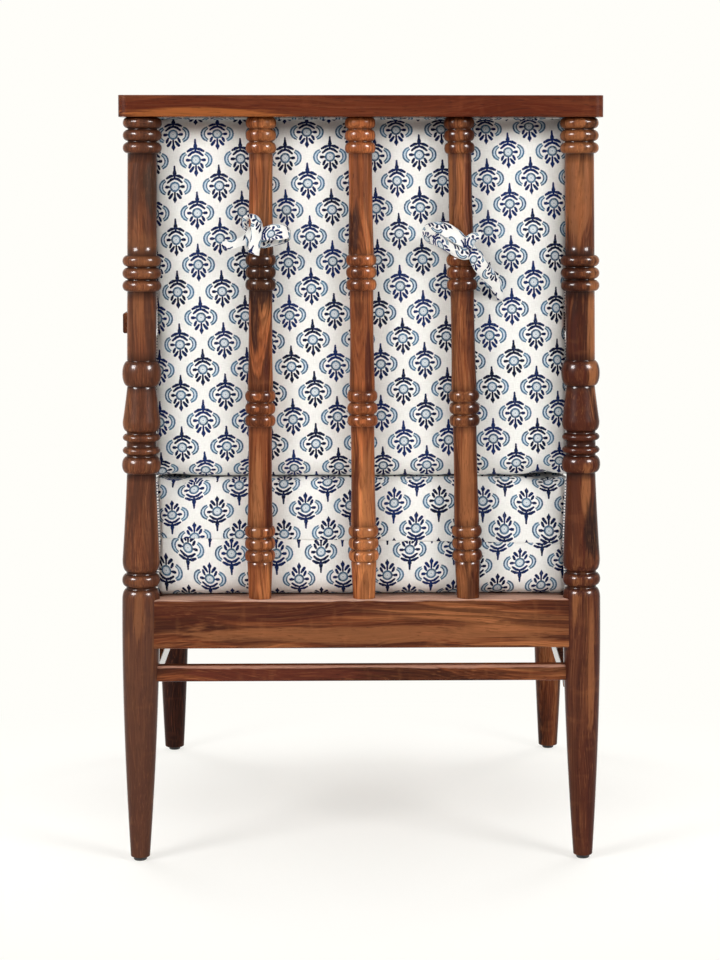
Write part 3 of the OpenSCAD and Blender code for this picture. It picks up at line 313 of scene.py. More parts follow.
def printed(name, place=(0, 0), turn=0.0, shrink=1.0):
    """Cream cotton with a traditional block-printed flower, on UVs in metres. +V is the flower's tip."""
    n = Net(name)
    uv = n.node("TexCoord", out=UV)
    flat = n.mapping(n.mapping(uv, (-place[0], -place[1], 0)), turn=(0, 0, turn))
    moved = n.vec("ADD", flat, n.swing(n.noise(flat, 9.0, 1.0, 0.5, 1), 0.0045))
    # Flowers stand at the cells' corners and middles; local is the way from the nearest one, in cells.
    cell = n.mapping(moved, scale=(1 / (FLOWER_W * MM * shrink), 1 / (FLOWER_H * MM * shrink), 0))
    near = n.vec("SUBTRACT", n.vec("FRACTION", n.vec("ADD", cell, (0.5, 0.5, 0))), (0.5, 0.5, 0))
    sx, sy, _ = n.split(n.vec("ABSOLUTE", near))
    other = n.vec("SUBTRACT", near, n.vec("MULTIPLY", n.vec("SIGN", near), (0.5, 0.5, 0)))
    local = n.node("Mix", {0: n.less(n.add(sx, sy), 0.5), 4: other, 5: near}, 1, data_type="VECTOR")
    home = n.vec("ADD", n.vec("SUBTRACT", cell, local), (0.25, 0.25, 0))
    home = n.vec("FLOOR", n.vec("MULTIPLY", home, (2, 2, 0)))
    luck = n.outputs("TexWhiteNoise", {"Vector": home}, noise_dimensions="2D")
    # The units inside a flower are millimetres, with small slips of the block and feathered edges.
    on_cloth = n.vec("MULTIPLY", moved, (1000, 1000, 0))
    rough_edge = n.swing(n.noise(on_cloth, 0.75, 2.0, 0.6, 1), 1.25)
    slipped = n.vec("ADD", n.vec("MULTIPLY", local, (FLOWER_W, FLOWER_H, 0)), n.swing(luck[1], 0.9))
    x, y, _ = n.split(n.vec("ADD", slipped, rough_edge))
    x = n.math("ABSOLUTE", x)
    p = n.node("CombineXYZ", {0: x, 1: y, 2: 0.0})
    # V grows towards the tip, so the stem lies on -V.
    dark = stroke(n, p, *MARKS[0])
    for mark in MARKS[1:]:
        dark = n.lo(dark, stroke(n, p, *mark))
    # The heart's rings, and at each side a double crescent, cut off where it would close round the ring.
    r0 = n.vec("LENGTH", p, out=1)
    to_c = n.vec("DISTANCE", p, (10.6, 0, 0), 1)
    to_i = n.vec("DISTANCE", p, (8.2, 0, 0), 1)
    open_out = n.sub(12.5, x)
    steel = n.lo(band_of(n, r0, 5.3, 1.15), n.hi(band_of(n, to_c, 9.3, 0.95), open_out))
    steel = n.lo(steel, n.hi(band_of(n, to_i, 7.8, 0.75), n.sub(11.4, x)))
    pale = n.lo(n.sub(r0, 4.7), n.hi(n.sub(to_c, 9.3), n.hi(n.sub(7.7, to_i), open_out)))
    heart = n.lo(band_of(n, r0, 2.9, 0.3), n.sub(r0, 1.15))
    ink = n.noise(on_cloth, 0.42, 2.0, 0.65)
    patch = n.noise(on_cloth, 0.035, 1.0, 0.5)

    def covered(d, soft):
        return n.ramp(d, soft, -soft)
    slub_u, slub_v = (n.noise(n.mapping(uv, scale=s), 1.0, 1.0, 0.5)
                      for s in ((1600, 130, 0), (130, 1600, 0)))
    slub = n.mul(n.add(slub_u, slub_v), 0.5)
    deep = n.ramp(n.add(n.mul(ink, 0.75), n.mul(luck[0], 0.25)), 0.32, 0.62)
    colour = n.over(
        n.mix(n.ramp(slub, 0.35, 0.65), rgb(226, 224, 220), rgb(239, 238, 234)),
        (n.mul(covered(pale, 0.5), n.ramp(ink, 0.25, 0.6, 0.45, 0.95)),
         n.mix(n.less(r0, 6.0), rgb(172, 195, 212), rgb(208, 217, 222))),
        (n.mul(covered(heart, 0.35), 0.55), rgb(104, 112, 128)),
        (n.mul(covered(n.sub(steel, 0.1), 0.27), n.ramp(ink, 0.3, 0.62, 0.8, 1.0)),
         n.mix(n.ramp(patch, 0.4, 0.62), rgb(30, 68, 98), rgb(56, 98, 130))),
        (n.mul(covered(n.sub(dark, 0.14), 0.26), n.ramp(ink, 0.76, 0.58, 0.9, 1.0)),
         n.mix(deep, rgb(5, 10, 32), rgb(12, 34, 88))))
    wx, wy, _ = n.split(n.mapping(uv, scale=(math.tau / WEAVE, math.tau / WEAVE, 0)))
    threads = n.mul(n.math("SINE", wx), n.math("SINE", wy))
    cloth = n.add(n.mul(threads, 0.5), n.mul(slub, 2.0))
    return n.finish(colour, n.ramp(slub, 0.3, 0.7, 0.78, 0.9), n.bump(cloth, 0.28, 0.00022),
                    Sheen_Weight=0.02, Sheen_Roughness=0.5, Specular_IOR_Level=0.06)


def piping_cloth(name):
    """Blue and white striped cord: U runs along it in metres."""
    n = Net(name)
    uv = n.node("TexCoord", out=UV)
    u, v, _ = n.split(uv)
    wob = n.noise(n.mapping(uv, scale=(160, 40, 0)), 1.0, 1.0, 0.5)
    f = n.math("FRACT", n.add(n.mul(u, 1 / STRIPE), n.add(n.mul(v, 18.0), n.mul(wob, 0.3))))
    blue = n.mul(n.ramp(f, 0.02, 0.1), n.ramp(f, 0.54, 0.46))
    slub = n.noise(n.mapping(uv, scale=(900, 900, 0)), 1.0, 2.0, 0.6)
    ground = n.mix(slub, rgb(226, 222, 214), rgb(244, 241, 234))
    colour = n.mix(n.mul(blue, n.ramp(slub, 0.7, 0.4, 0.75, 1.0)), ground, rgb(18, 32, 74))
    return n.finish(colour, 0.82, n.bump(slub, 0.3, 0.0002), Sheen_Weight=0.1, Specular_IOR_Level=0.3)


def simple(name, colour, other, rough, scale, bump=0.1, metal=0.0):
    n = Net(name)
    here = n.node("TexCoord", out=OBJECT)
    f = n.noise(here, scale, 3.0, 0.6)
    g = n.noise(here, scale * 7, 2.0, 0.5)
    both = n.add(n.mul(f, 0.5), n.mul(g, 0.5))
    return n.finish(n.mix(f, colour, other), n.ramp(both, 0.3, 0.7, rough - 0.07, rough + 0.08),
                    n.bump(g, bump, 0.0002), Metallic=metal)


# Mesh helpers
def link(name, data):
    o = bpy.data.objects.new(name, data)
    bpy.context.scene.collection.objects.link(o)
    return o


def new_object(name, verts, faces, material, uvs=None):
    """A smooth-shaded mesh; verts are in millimetres."""
    me = bpy.data.meshes.new(name)
    me.from_pydata([tuple(v) for v in np.asarray(verts) * MM], [], faces)
    me.update()
    if uvs is not None:
        layer = me.uv_layers.new(name="UVMap")
        layer.data.foreach_set("uv", np.asarray(uvs, float).ravel())
    me.polygons.foreach_set("use_smooth", [True] * len(me.polygons))
    me.materials.append(material)
    return link(name, me)


def read(mesh):
    """The places of a mesh's points, in metres."""
    co = np.empty(len(mesh.vertices) * 3)
    mesh.vertices.foreach_get("co", co)
    return co.reshape(-1, 3)


def write(o, co):
    """Moves an object's points to places in millimetres."""
    o.data.vertices.foreach_set("co", (co * MM).ravel())
    o.data.update()


def subdivide(o):
    m = o.modifiers.new("Smooth", "SUBSURF")
    m.levels = m.render_levels = 1


def around(n):
    """Neighbours along a closed row of n points."""
    return [(k, (k + 1) % n) for k in range(n)]


def unit(v):
    return v / np.linalg.norm(v, axis=-1, keepdims=True)


def walked(P):
    """The length along a line of points, up to each of them."""
    return np.concatenate([[0], np.cumsum(np.linalg.norm(np.diff(P, axis=0), axis=1))])


def spline(p0, p1, p2, p3, t):
    """The place at share t from p1 to p2 on a smooth curve through all four points."""
    return 0.5 * (2 * p1 + (p2 - p0) * t + (2 * p0 - 5 * p1 + 4 * p2 - p3) * t * t
                  + (3 * p1 - p0 - 3 * p2 + p3) * t ** 3)


def join(name, objects):
    """Several meshes as one."""
    for o in bpy.context.selected_objects:
        o.select_set(False)
    for o in objects:
        o.select_set(True)
    bpy.context.view_layer.objects.active = objects[0]
    bpy.ops.object.join()
    o = objects[0]
    o.name = name
    o.data.name = name
    o.select_set(False)
    return o


# Turned pieces
# Turned outlines, as [radius, height] points from the bottom up.
def bead(z, h, core, out, n=14):
    return [(core + (out - core) * math.sin(math.pi * i / n), z + h * (1 - math.cos(math.pi * i / n)) / 2)
            for i in range(n + 1)]


def curve(a, b, c, n):
    t = np.linspace(0, 1, n + 1)[:, None]
    a, b, c = (np.array(p, float) for p in (a, b, c))
    return [tuple(p) for p in (1 - t) ** 2 * a + 2 * t * (1 - t) * b + t * t * c]


def round_over(r0, z0, r1, z1, n):
    return [(r1 + (r0 - r1) * math.cos(math.pi / 2 * i / n), z0 + (z1 - z0) * math.sin(math.pi / 2 * i / n))
            for i in range(n + 1)]


def round_under(r0, z0, r1, z1, n):
    return [(r0 + (r1 - r0) * math.sin(math.pi / 2 * i / n), z1 - (z1 - z0) * math.cos(math.pi / 2 * i / n))
            for i in range(n + 1)]


def group(z, core, out):
    return [p for k in range(3) for p in bead(z + k * BEAD_PITCH, BEAD_H, core, out)]


def leg(foot_d):
    foot, full, bend = foot_d / 2, LEG_D / 2, SHOULDER_Z - 14.0
    low = round_under(foot - 1.6, GLIDE_H, foot, GLIDE_H + 1.6, 4)
    return ([(0, GLIDE_H)] + low + curve((foot, GLIDE_H + 2.6), (full + 0.6, 190.0), (full, bend), 30)
            + round_over(full, bend + 1, NECK_D / 2, SHOULDER_Z, 10))


def turnings():
    """A post from the seat to the arm's support, the same at the back and the front."""
    neck, full = NECK_D / 2, BEAD_D / 2
    return (bead(LOW_BEAD_Z, LOW_BEAD_H, neck, full - 0.5)
            + round_under(neck, FLARE_Z, full - 0.8, FLARE_Z + FLARE_ROUND, 10)
            + curve((full - 0.8, FLARE_Z + FLARE_ROUND + 1), (neck + 1.2, FLARE_Z + 0.6 * FLARE_H),
                    (neck - 0.4, FLARE_Z + FLARE_H), 22)
            + bead(FAT_Z, FAT_H, neck, full, 18)
            + bead(THIN_Z, THIN_H, neck, full - 0.8, 12) + bead(THIN2_Z, THIN_H, neck, full - 0.8, 12)
            + round_under(neck, BELL_Z, full - 0.7, BELL_Z + BELL_ROUND, 10)
            + curve((full - 0.7, BELL_Z + BELL_ROUND + 1), (neck + 2.2, BELL_Z + 0.55 * BELL_H),
                    (neck - 0.6, BALL_Z - 0.6), 18)
            + bead(BALL_Z, BALL_H, neck - 1, full, 24) + [(COLUMN_D / 2, BALL_Z + BALL_H + 1)])


def back_post():
    core, full, top = COLUMN_D / 2, BEAD_D / 2, TOP_RAIL_Z + BITE
    return (leg(BACK_FOOT_D) + turnings() + group(MID_Z, core, full) + group(TOP_Z, core, full)
            + [(core, top), (0, top)])


def front_post():
    return leg(FRONT_FOOT_D) + turnings() + [(COLUMN_D / 2, ARM_Z + BITE), (0, ARM_Z + BITE)]


def spindle():
    core, swell, foot = SPINDLE_D / 2, SPINDLE_SWELL_D / 2, SPINDLE_FOOT_D / 2
    pts = [(0, -BITE), (foot, -BITE)] + curve((foot, 0.5), (core, LOW_RISE / 2), (swell, LOW_RISE - 0.8), 10)
    for k in range(4):
        pts += group(LOW_RISE + k * SPINDLE_PITCH, core, SPINDLE_BEAD_D / 2)
        if k < 3:
            z0, z1 = LOW_RISE + k * SPINDLE_PITCH + GROUP_H, LOW_RISE + (k + 1) * SPINDLE_PITCH
            pts += curve((swell, z0 + 0.8), (core - 0.8, (z0 + z1) / 2), (core, z1 - 0.8), 14)
    rise = TOP_RAIL_Z - SEAT_Z + BITE
    return pts + [(core, rise), (0, rise)]


def stretch(points, step=12.0):
    """Adds points along long straight parts, so that the mesh stays even."""
    out = [points[0]]
    for p in points[1:]:
        q = out[-1]
        n = max(1, int(math.hypot(p[0] - q[0], p[1] - q[1]) / step))
        out += [(q[0] + (p[0] - q[0]) * k / n, q[1] + (p[1] - q[1]) * k / n) for k in range(1, n + 1)]
    return out


# Points round a turned piece, and how far round a point and how deep its groove is looked for.
SIDES, GROOVE_REACH, GROOVE_DEPTH = 80, 9.0, 5.5


def lathe(name, points, material, foot, lean=0.0, node=None):
    """A turned piece, its axis leaning in the XZ plane from the foot."""
    pts = [points[0]]
    for p in stretch(points)[1:]:
        if math.hypot(p[0] - pts[-1][0], p[1] - pts[-1][1]) > 0.05:
            pts.append(p)
    r, z = np.array(pts).T
    # How deep each point lies in a groove between two turnings.
    deep = np.array([r[np.abs(z - zi) < GROOVE_REACH].max() - ri for ri, zi in zip(r, z)])
    shade = np.clip(deep / GROOVE_DEPTH, 0, 1) ** 1.6
    r = r * (1 + 0.0015 * np.sin(z / 37.0 + foot[0]))
    rows, verts, groove = [], [], []
    for ri, zi, dark in zip(r, z, shade):
        # Both ends close in a single point on the axis.
        count = SIDES if ri > 1e-6 else 1
        rows.append(range(len(verts), len(verts) + count))
        verts += [(ri * math.cos(t), ri * math.sin(t), zi) for t in 2 * math.pi * np.arange(count) / SIDES]
        groove += [dark] * count
    faces = []
    for lo, hi in zip(rows, rows[1:]):
        for k, j in around(SIDES):
            if len(lo) == 1:
                faces.append((lo[0], hi[j], hi[k]))
            elif len(hi) == 1:
                faces.append((lo[k], lo[j], hi[0]))
            else:
                faces.append((lo[k], lo[j], hi[j], hi[k]))
    x, y, z = np.array(verts).T
    c, s = math.cos(lean), math.sin(lean)
    v = np.column_stack([x * c + z * s, y, -x * s + z * c]) + np.array(foot)
    o = new_object(name, v, faces, material)
    # The groove's depth drives the painted shade, partly built-up finish, in the wood's grooves.
    at = o.data.attributes.new("groove", "FLOAT", "POINT")
    at.data.foreach_set("value", np.array(groove, np.float32))
    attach(o, "chair")
    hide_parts(node)


# The spots lie where the photograph has them: centre and reach in metres, colour, strength.
# Some spots below are painted light, as marked.
RED_HEART, GOLD_SAP, NEAR_BLACK = rgb(70, 29, 17), rgb(154, 97, 59), rgb(36, 19, 13)
post_looks = {
    "left": dict(seed=1.3, tone=18, dark=0.35, grey=0.4, gold=0.3, spots=[
        # Painted shade: the lower leg darker, where less light reaches it.
        ((0.2825, 0.3, 0.1), (0.1, 0.1, 0.27), rgb(74, 42, 34), 0.8),
        ((0.262, 0.32, 0.853), (0.009, 0.05, 0.042), rgb(42, 29, 19), 0.92),
        ((0.27, 0.32, 0.775), (0.02, 0.04, 0.03), rgb(138, 86, 50), 0.5),
        ((0.28, 0.33, 0.32), (0.007, 0.05, 0.035), GOLD_SAP, 0.6)]),
    "right": dict(seed=2.9, tone=4, dark=0.75, spots=[
        ((-0.262, 0.33, 0.86), (0.03, 0.06, 0.08), GOLD_SAP, 0.55),
        ((-0.256, 0.33, 0.50), (0.04, 0.08, 0.2), RED_HEART, 0.9),
        # Painted shade: the lower leg darker, where less light reaches it.
        ((-0.2825, 0.3, 0.1), (0.1, 0.1, 0.27), rgb(68, 31, 22), 0.8),
        ((-0.291, 0.31, 0.68), (0.008, 0.05, 0.1), GOLD_SAP, 0.8),
        ((-0.283, 0.32, 0.475), (0.006, 0.05, 0.035), GOLD_SAP, 0.7),
        ((-0.291, 0.32, 0.425), (0.01, 0.05, 0.04), NEAR_BLACK, 0.9),
        ((-0.29, 0.33, 0.25), (0.005, 0.05, 0.09), GOLD_SAP, 0.55)])}
spindle_looks = {
    "left": dict(seed=8.2, tone=66, dark=0.4, pith=(0.02, 0.05), spots=[
        ((0.128, 0.3, 0.745), (0.03, 0.05, 0.045), rgb(36, 17, 11), 0.93),
        ((0.135, 0.33, 0.69), (0.008, 0.04, 0.05), rgb(44, 20, 12), 0.85),
        ((0.118, 0.33, 0.62), (0.006, 0.04, 0.045), RED_HEART, 0.9),
        ((0.133, 0.33, 0.46), (0.008, 0.04, 0.085), GOLD_SAP, 0.85),
        ((0.1165, 0.33, 0.47), (0.0035, 0.04, 0.09), RED_HEART, 0.9)]),
    "middle": dict(seed=9.6, tone=68, dark=0.4, pith=(0.05, -0.02), gold=0.6, spots=[
        ((0.014, 0.31, 0.80), (0.013, 0.03, 0.03), rgb(52, 24, 14), 0.9),
        ((-0.009, 0.32, 0.63), (0.006, 0.04, 0.05), RED_HEART, 0.85),
        ((-0.008, 0.33, 0.46), (0.009, 0.04, 0.09), GOLD_SAP, 0.8),
        ((0.008, 0.33, 0.46), (0.005, 0.04, 0.1), RED_HEART, 0.9)]),
    "right": dict(seed=11.7, tone=1, pith=(-0.03, 0.05), spots=[
        ((-0.12, 0.33, 0.47), (0.004, 0.04, 0.09), RED_HEART, 0.75),
        ((-0.136, 0.33, 0.47), (0.009, 0.04, 0.09), GOLD_SAP, 0.6)])}
along_x = {
    "top_rail": dict(seed=3.3, tone=-34, pith=(0.06, 0.04), gold=0.12, spots=[
        ((-0.05, 0.32, 0.955), (0.5, 0.05, 0.03), rgb(90, 35, 14), 0.75),
        ((0.2, 0.328, 0.946), (0.1, 0.05, 0.009), rgb(156, 90, 44), 0.75)]),
    "back_seat_rail": dict(seed=4.4, tone=12, dark=0.35, pith=(0.09, 0.02), gold=0.4, spots=[
        ((0.13, 0.31, 0.326), (0.2, 0.05, 0.018), RED_HEART, 0.75),
        ((-0.03, 0.31, 0.293), (0.26, 0.05, 0.012), GOLD_SAP, 0.55),
        # Painted light: the rail's top face paler, as if lit from above and mirroring the cushion.
        ((0, 0.3, 0.3375), (0.6, 0.1, 0.0035), rgb(200, 160, 140), 0.85)]),
    "front_seat_rail": dict(seed=6.4, tone=4, pith=(0.07, 0.04)),
    "back_stretcher": dict(seed=7.9, tone=18, dark=0.4, pith=(0.03, 0.03), spots=[
        ((0.11, 0.31, 0.243), (0.12, 0.03, 0.02), rgb(92, 40, 27), 0.7),
        # Painted highlight along the stretcher's rounded top edge.
        ((0, 0.3075, 0.2505), (0.6, 0.005, 0.0035), rgb(180, 132, 111), 0.75)]),
    "front_stretcher": dict(seed=9.9, tone=2, pith=(0.03, 0.05))}
along_y = {
    "side_seat_rail_left": dict(seed=12.1, tone=4, dark=0.45),
    "side_seat_rail_right": dict(seed=13.7, tone=4, dark=0.55),
    "side_stretcher_left": dict(seed=14.9, tone=2),
    "side_stretcher_right": dict(seed=15.3, tone=2),
    "arm_left": dict(seed=16.8, tone=6, dark=0.45, pith=(0.08, 0.05)),
    "arm_right": dict(seed=18.2, tone=6, dark=0.55, pith=(0.07, 0.03))}

for side, sign in (("left", 1), ("right", -1)):
    m = wood("sheesham_post_" + side, pith=(0.04, -0.06), finish_and_shade_in_grooves=True, **post_looks[side])
    lathe("Back_post_" + side, back_post(), m, (sign * BACK_FOOT_X, BACK_Y, 0), -sign * LEAN,
          node="back_post_" + side)
    m = wood("sheesham_front_" + side, seed=5.1 + sign, tone=-13 - 17 * sign, dark=0.6,
             pith=(0.05, 0.03), finish_and_shade_in_grooves=True, gold=0.2)
    lathe("Front_post_" + side, front_post(), m, (sign * FRONT_X, FRONT_Y, 0), node="front_post_" + side)
for i, name in ((-1, "left"), (0, "middle"), (1, "right")):
    m = wood("sheesham_spindle_" + name, finish_and_shade_in_grooves=True, **spindle_looks[name])
    lean = math.atan((spindle_x(i, TOP_RAIL_Z) - spindle_x(i, SEAT_Z)) / (TOP_RAIL_Z - SEAT_Z))
    lathe("Spindle_" + name, spindle(), m, (spindle_x(i, SEAT_Z), BACK_Y, SEAT_Z), lean,
          node="back_spindle_" + name)

# Pieces carried over from the solids
carried = {node: wood("sheesham_" + node.replace("_seat", ""), turn, **look)
           for turn, looks in ((X_GRAIN, along_x), (Y_GRAIN, along_y)) for node, look in looks.items()}
ply = plain_wood("stained_plywood", rgb(126, 82, 56), rgb(92, 56, 38), Y_GRAIN, layers=0.0034)
pine_x, pine_y = (plain_wood("pine_" + axis, rgb(214, 178, 126), rgb(176, 132, 84), turn)
                  for axis, turn in (("x", X_GRAIN), ("y", Y_GRAIN)))
steel = simple("screw_steel", rgb(168, 168, 170), rgb(128, 126, 124), 0.34, 900, metal=1.0)
black = simple("glide_plastic", rgb(8, 8, 9), rgb(15, 15, 16), 0.5, 500, bump=0.2)
carried.update({"seat_deck": ply, "batten_back": pine_x, "batten_front": pine_x, "batten_left": pine_y,
                "batten_right": pine_y, "batten_screws": steel, "deck_screws": steel, "corner_screws": steel,
                "foot_glides": black, "glide_nails": steel})
carried.update({name: pine_x for name in NODES if name.startswith("corner_block")})
for name, m in carried.items():
    NODES[name].data.materials.clear()
    NODES[name].data.materials.append(m)

# Cushions
SEAM_R, SIDE_DRAW, PIPING_D = 12.0, 5.0, 4.2
PAD_HALF_W = 519.2 / 2 - ((SEAM_R + PIPING_D / 2 + 0.3) / math.sqrt(2) - SEAM_R + PIPING_D / 2)
# Size of a cover's cells, stations along the wrap, and how far each cushion widens towards the rear.
CELL, WRAP_ROWS, SEAT_FLARE, BACK_FLARE = 10.0, 51, 3.2, 8.4
EIGHTH = math.pi / 4
# Half the depth and half the height of each cushion, and the height of its middle.
SEAT_A, SEAT_B, SEAT_MID_Z = 290.8, 74.5, 411.8
BACK_A, BACK_B, BACK_MID_Z = 52.0, 229.45, 717.55
# Where each print starts on the rear side: -X and height.
BACK_PRINT, SEAT_PRINT, STRIP_PRINT = (-92.8, 824.9), (41.2, 455.0), (88.0, 364.8)
# The zip's seam on the seat cushion: height, share of the rear side, rows beside it and its lap's step.
ZIP_Z, ZIP_SHARE = 405.3, 0.5463
ZIP_ROWS = (-4.0, -1.6, -0.6, 0.0, 0.6, 1.6, 4.0)
ZIP_STEP = (0.0, 0.0, -0.4, -1.5, 0.8, 0.8, 0.3)


def dome(x):
    return np.maximum(0, 1 - x * x) ** 0.75


class Pad:
    """A cushion: a rounded outline in the YZ plane carried along X, its cover one wrap and two end panels."""

    def __init__(self, mid, half_d, half_h, radii, bulge, roll=45.0, flare=0.0):
        self.mid, self.a, self.b, self.radii, self.bulge = np.array(mid), half_d, half_h, radii, bulge
        self.roll, self.flare = roll, flare
        # The cells along the depth and the height, both even.
        nd, nh = int(round(2 * half_d / CELL)), int(round(2 * half_h / CELL))
        self.nd, self.nh = nd + nd % 2, nh + nh % 2

    def outline(self, inset):
        """Points round the outline with their normals' Y, from the rear top corner forward."""
        a, b = self.a - inset, self.b - inset
        rt, ft, fb, rb = (max(1.0, r - inset) for r in self.radii)
        corners = ((a - rt, b - rt, rt), (ft - a, b - ft, ft), (fb - a, fb - b, fb), (a - rb, rb - b, rb))
        straights = (((a - rt, b), (ft - a, b)), ((-a, b - ft), (-a, fb - b)),
                     ((fb - a, -b), (a - rb, -b)), ((a, rb - b), (a, b - rt)))
        out = []
        # Each side runs from the middle of one corner to the middle of the next.
        for i, ((y0, z0), (y1, z1)) in enumerate(straights):
            first, last = corners[i], corners[(i + 1) % 4]
            arc, long = first[2] * EIGHTH, math.hypot(y1 - y0, z1 - z0)
            total = arc + long + last[2] * EIGHTH
            n = (self.nd, self.nh)[i % 2]
            for k in range(n):
                s = total * k / n
                if arc <= s < arc + long:
                    f = (s - arc) / long
                    facing = math.cos((2 * i + 1) * EIGHTH + EIGHTH)
                    out.append((y0 + (y1 - y0) * f, z0 + (z1 - z0) * f, facing))
                    continue
                if s < arc:
                    (cy, cz, r), t = first, (2 * i + 1) * EIGHTH + s / first[2]
                else:
                    (cy, cz, r), t = last, (2 * i + 2) * EIGHTH + (s - arc - long) / last[2]
                out.append((cy + r * math.cos(t), cz + r * math.sin(t), math.cos(t)))
        return np.array(out)

    def point(self, x, p):
        """Adds the crown and the front's bulge, both dying away towards the end panels."""
        top_rise, front_rise, crown = self.bulge
        w = dome(x / PAD_HALF_W)
        u, v = p[:, 0] / self.a, p[:, 1] / self.b
        top = top_rise * w * dome(np.clip((u + crown) / (1 - crown), -1, 1)) * np.maximum(0, v)
        front = front_rise * w * dome(np.clip(v, -1, 1)) * np.maximum(0, -u)
        return np.column_stack([np.full(len(p), x), p[:, 0] - front, p[:, 1] + top])

    def end_x(self, p, set_back=0.0):
        """How far out an end panel lies at the places p: it is drawn in towards its middle."""
        u, v = p[:, 0] / self.a, p[:, 1] / self.b
        drawn = SIDE_DRAW * (1 + dome(np.clip(u, -1, 1))) / 2 * dome(np.clip(v, -1, 1))
        return PAD_HALF_W + self.flare * np.clip(u, 0, 1) - set_back - drawn

    def fractions(self, zip_at=None):
        """Shares of a vertical side from its top down, closer together at the zip's seam."""
        base = [k / self.nh for k in range(self.nh + 1)]
        if zip_at is None:
            return np.array(base)
        length = 2 * self.b - 0.43 * 20
        near = [zip_at + d / length for d in ZIP_ROWS]
        keep = [f for f in base if abs(f - zip_at) * length > 8.0 or f in (0, 1)]
        return np.array(sorted(keep + near))


def coons(P, nd, nh, u, v):
    """Fills the outline P with a grid; u and v are the shares along its sides."""
    top, bottom = P[:nd + 1], P[nd + nh:2 * nd + nh + 1][::-1]
    front = P[nd:nd + nh + 1]
    rear = np.concatenate([P[:1], P[2 * nd + nh:][::-1]])
    U, V = u[:, None, None], v[None, :, None]
    G = (1 - V) * top[:, None] + V * bottom[:, None] + (1 - U) * rear[None] + U * front[None]
    return G - ((1 - U) * (1 - V) * P[0] + U * (1 - V) * P[nd] + U * V * P[nd + nh]
                + (1 - U) * V * P[2 * nd + nh])


def resample(P, nd, nh, f):
    """Moves the vertical sides' points to the shares f, keeping the horizontal sides."""
    def at(side, shares):
        old = np.linspace(0, 1, nh + 1)
        return np.column_stack([np.interp(shares, old, column) for column in side.T])[:-1]
    rear = np.concatenate([P[2 * nd + nh:], P[:1]])
    return np.concatenate([P[:nd], at(P[nd:nd + nh + 1], f), P[nd + nh:2 * nd + nh], at(rear, 1 - f[::-1])])


def build_pad(pad, f, keep):
    """Vertices, faces and the places of the seams of a cushion's cover. Rows run round the outline."""
    nd, nh = pad.nd, len(f) - 1

    def outline(inset):
        return resample(pad.outline(inset), pad.nd, pad.nh, f)
    base = outline(0)
    # The seam lies on the edge, but rolls onto the side panel where the rear face meets it.
    rear = np.clip((base[:, 2] - 0.3) / 0.6, 0, 1)
    seam_at = 45 + (pad.roll - 45) * rear
    sunk = 7.0 * rear * (45 - pad.roll) / 45

    def ring(share, sign):
        """share is 1 at the wrap's flat, 0 at the seam and -1 at the side panel's flat."""
        t = np.radians(np.where(share >= 0, seam_at + (90 - seam_at) * share, seam_at * (1 + share)))
        p = np.array([outline(d)[i] for i, d in enumerate(SEAM_R * (1 - np.sin(t)))])
        x = pad.end_x(p, SEAM_R * (1 - np.cos(t))) - sunk * np.clip(1 - abs(share) * 1.6, 0, 1)
        return pad.point(sign * x, p)
    turns = [0.0, 0.38, 0.73, 1.0]
    rows = [ring(t, -1) for t in turns]
    # Stations between the two last rings, which already follow the drawn-in sides.
    left, right = rows[-1][:, 0], ring(1.0, 1)[:, 0]
    rows += [pad.point(left + (right - left) * share, base) for share in np.linspace(0, 1, WRAP_ROWS)[1:-1]]
    rows += [ring(t, 1) for t in turns[::-1]]
    N, R = len(base), len(rows)
    verts = list(np.concatenate(rows))
    faces = [(r * N + k, r * N + j, (r + 1) * N + j, (r + 1) * N + k)
             for r in range(R - 1) for k, j in around(N)]
    wrap_faces = len(faces)
    for sign, seam_row in ((-1, 0), (1, R - 1)):
        prev = np.arange(seam_row * N, seam_row * N + N)
        quads = []
        for t in (-0.47, -0.87):
            now = np.arange(len(verts), len(verts) + N)
            verts += list(ring(t, sign))
            quads += [(prev[k], now[k], now[j], prev[j]) for k, j in around(N)]
            prev = now
        G = coons(outline(SEAM_R)[:, :2], nd, nh, np.linspace(0, 1, nd + 1), f)
        ids = np.empty((nd + 1, nh + 1), int)
        ids[:, 0], ids[:, nh] = prev[:nd + 1], prev[2 * nd + nh - np.arange(nd + 1)]
        ids[nd], ids[0] = prev[nd:nd + nh + 1], prev[-np.arange(nh + 1) % N]
        for i in range(1, nd):
            ids[i, 1:nh] = np.arange(len(verts), len(verts) + nh - 1)
            p = G[i, 1:nh]
            verts += list(pad.point(sign * pad.end_x(p), p))
        quads += [(ids[i, j], ids[i + 1, j], ids[i + 1, j + 1], ids[i, j + 1])
                  for i in range(nd) for j in range(nh)]
        faces += quads if sign < 0 else [q[::-1] for q in quads]
    # s is the length round the outline, for the cloth's own measure.
    return dict(verts=keep(np.array(verts) + pad.mid), faces=faces, wrap_faces=wrap_faces, N=N, R=R,
                s=walked(np.concatenate([base[:, :2], base[:1, :2]])), outline=base, rear=2 * nd + nh,
                seams={-1: slice(0, N), 1: slice((R - 1) * N, R * N)})


def rear_length(pad, shape, z):
    """The length round the outline at height z of the rear side."""
    first, outline = shape["rear"], shape["outline"]
    heights = np.concatenate([outline[first:, 1], outline[:1, 1]]) + pad.mid[2]
    return float(np.interp(z, heights, shape["s"][first:]))


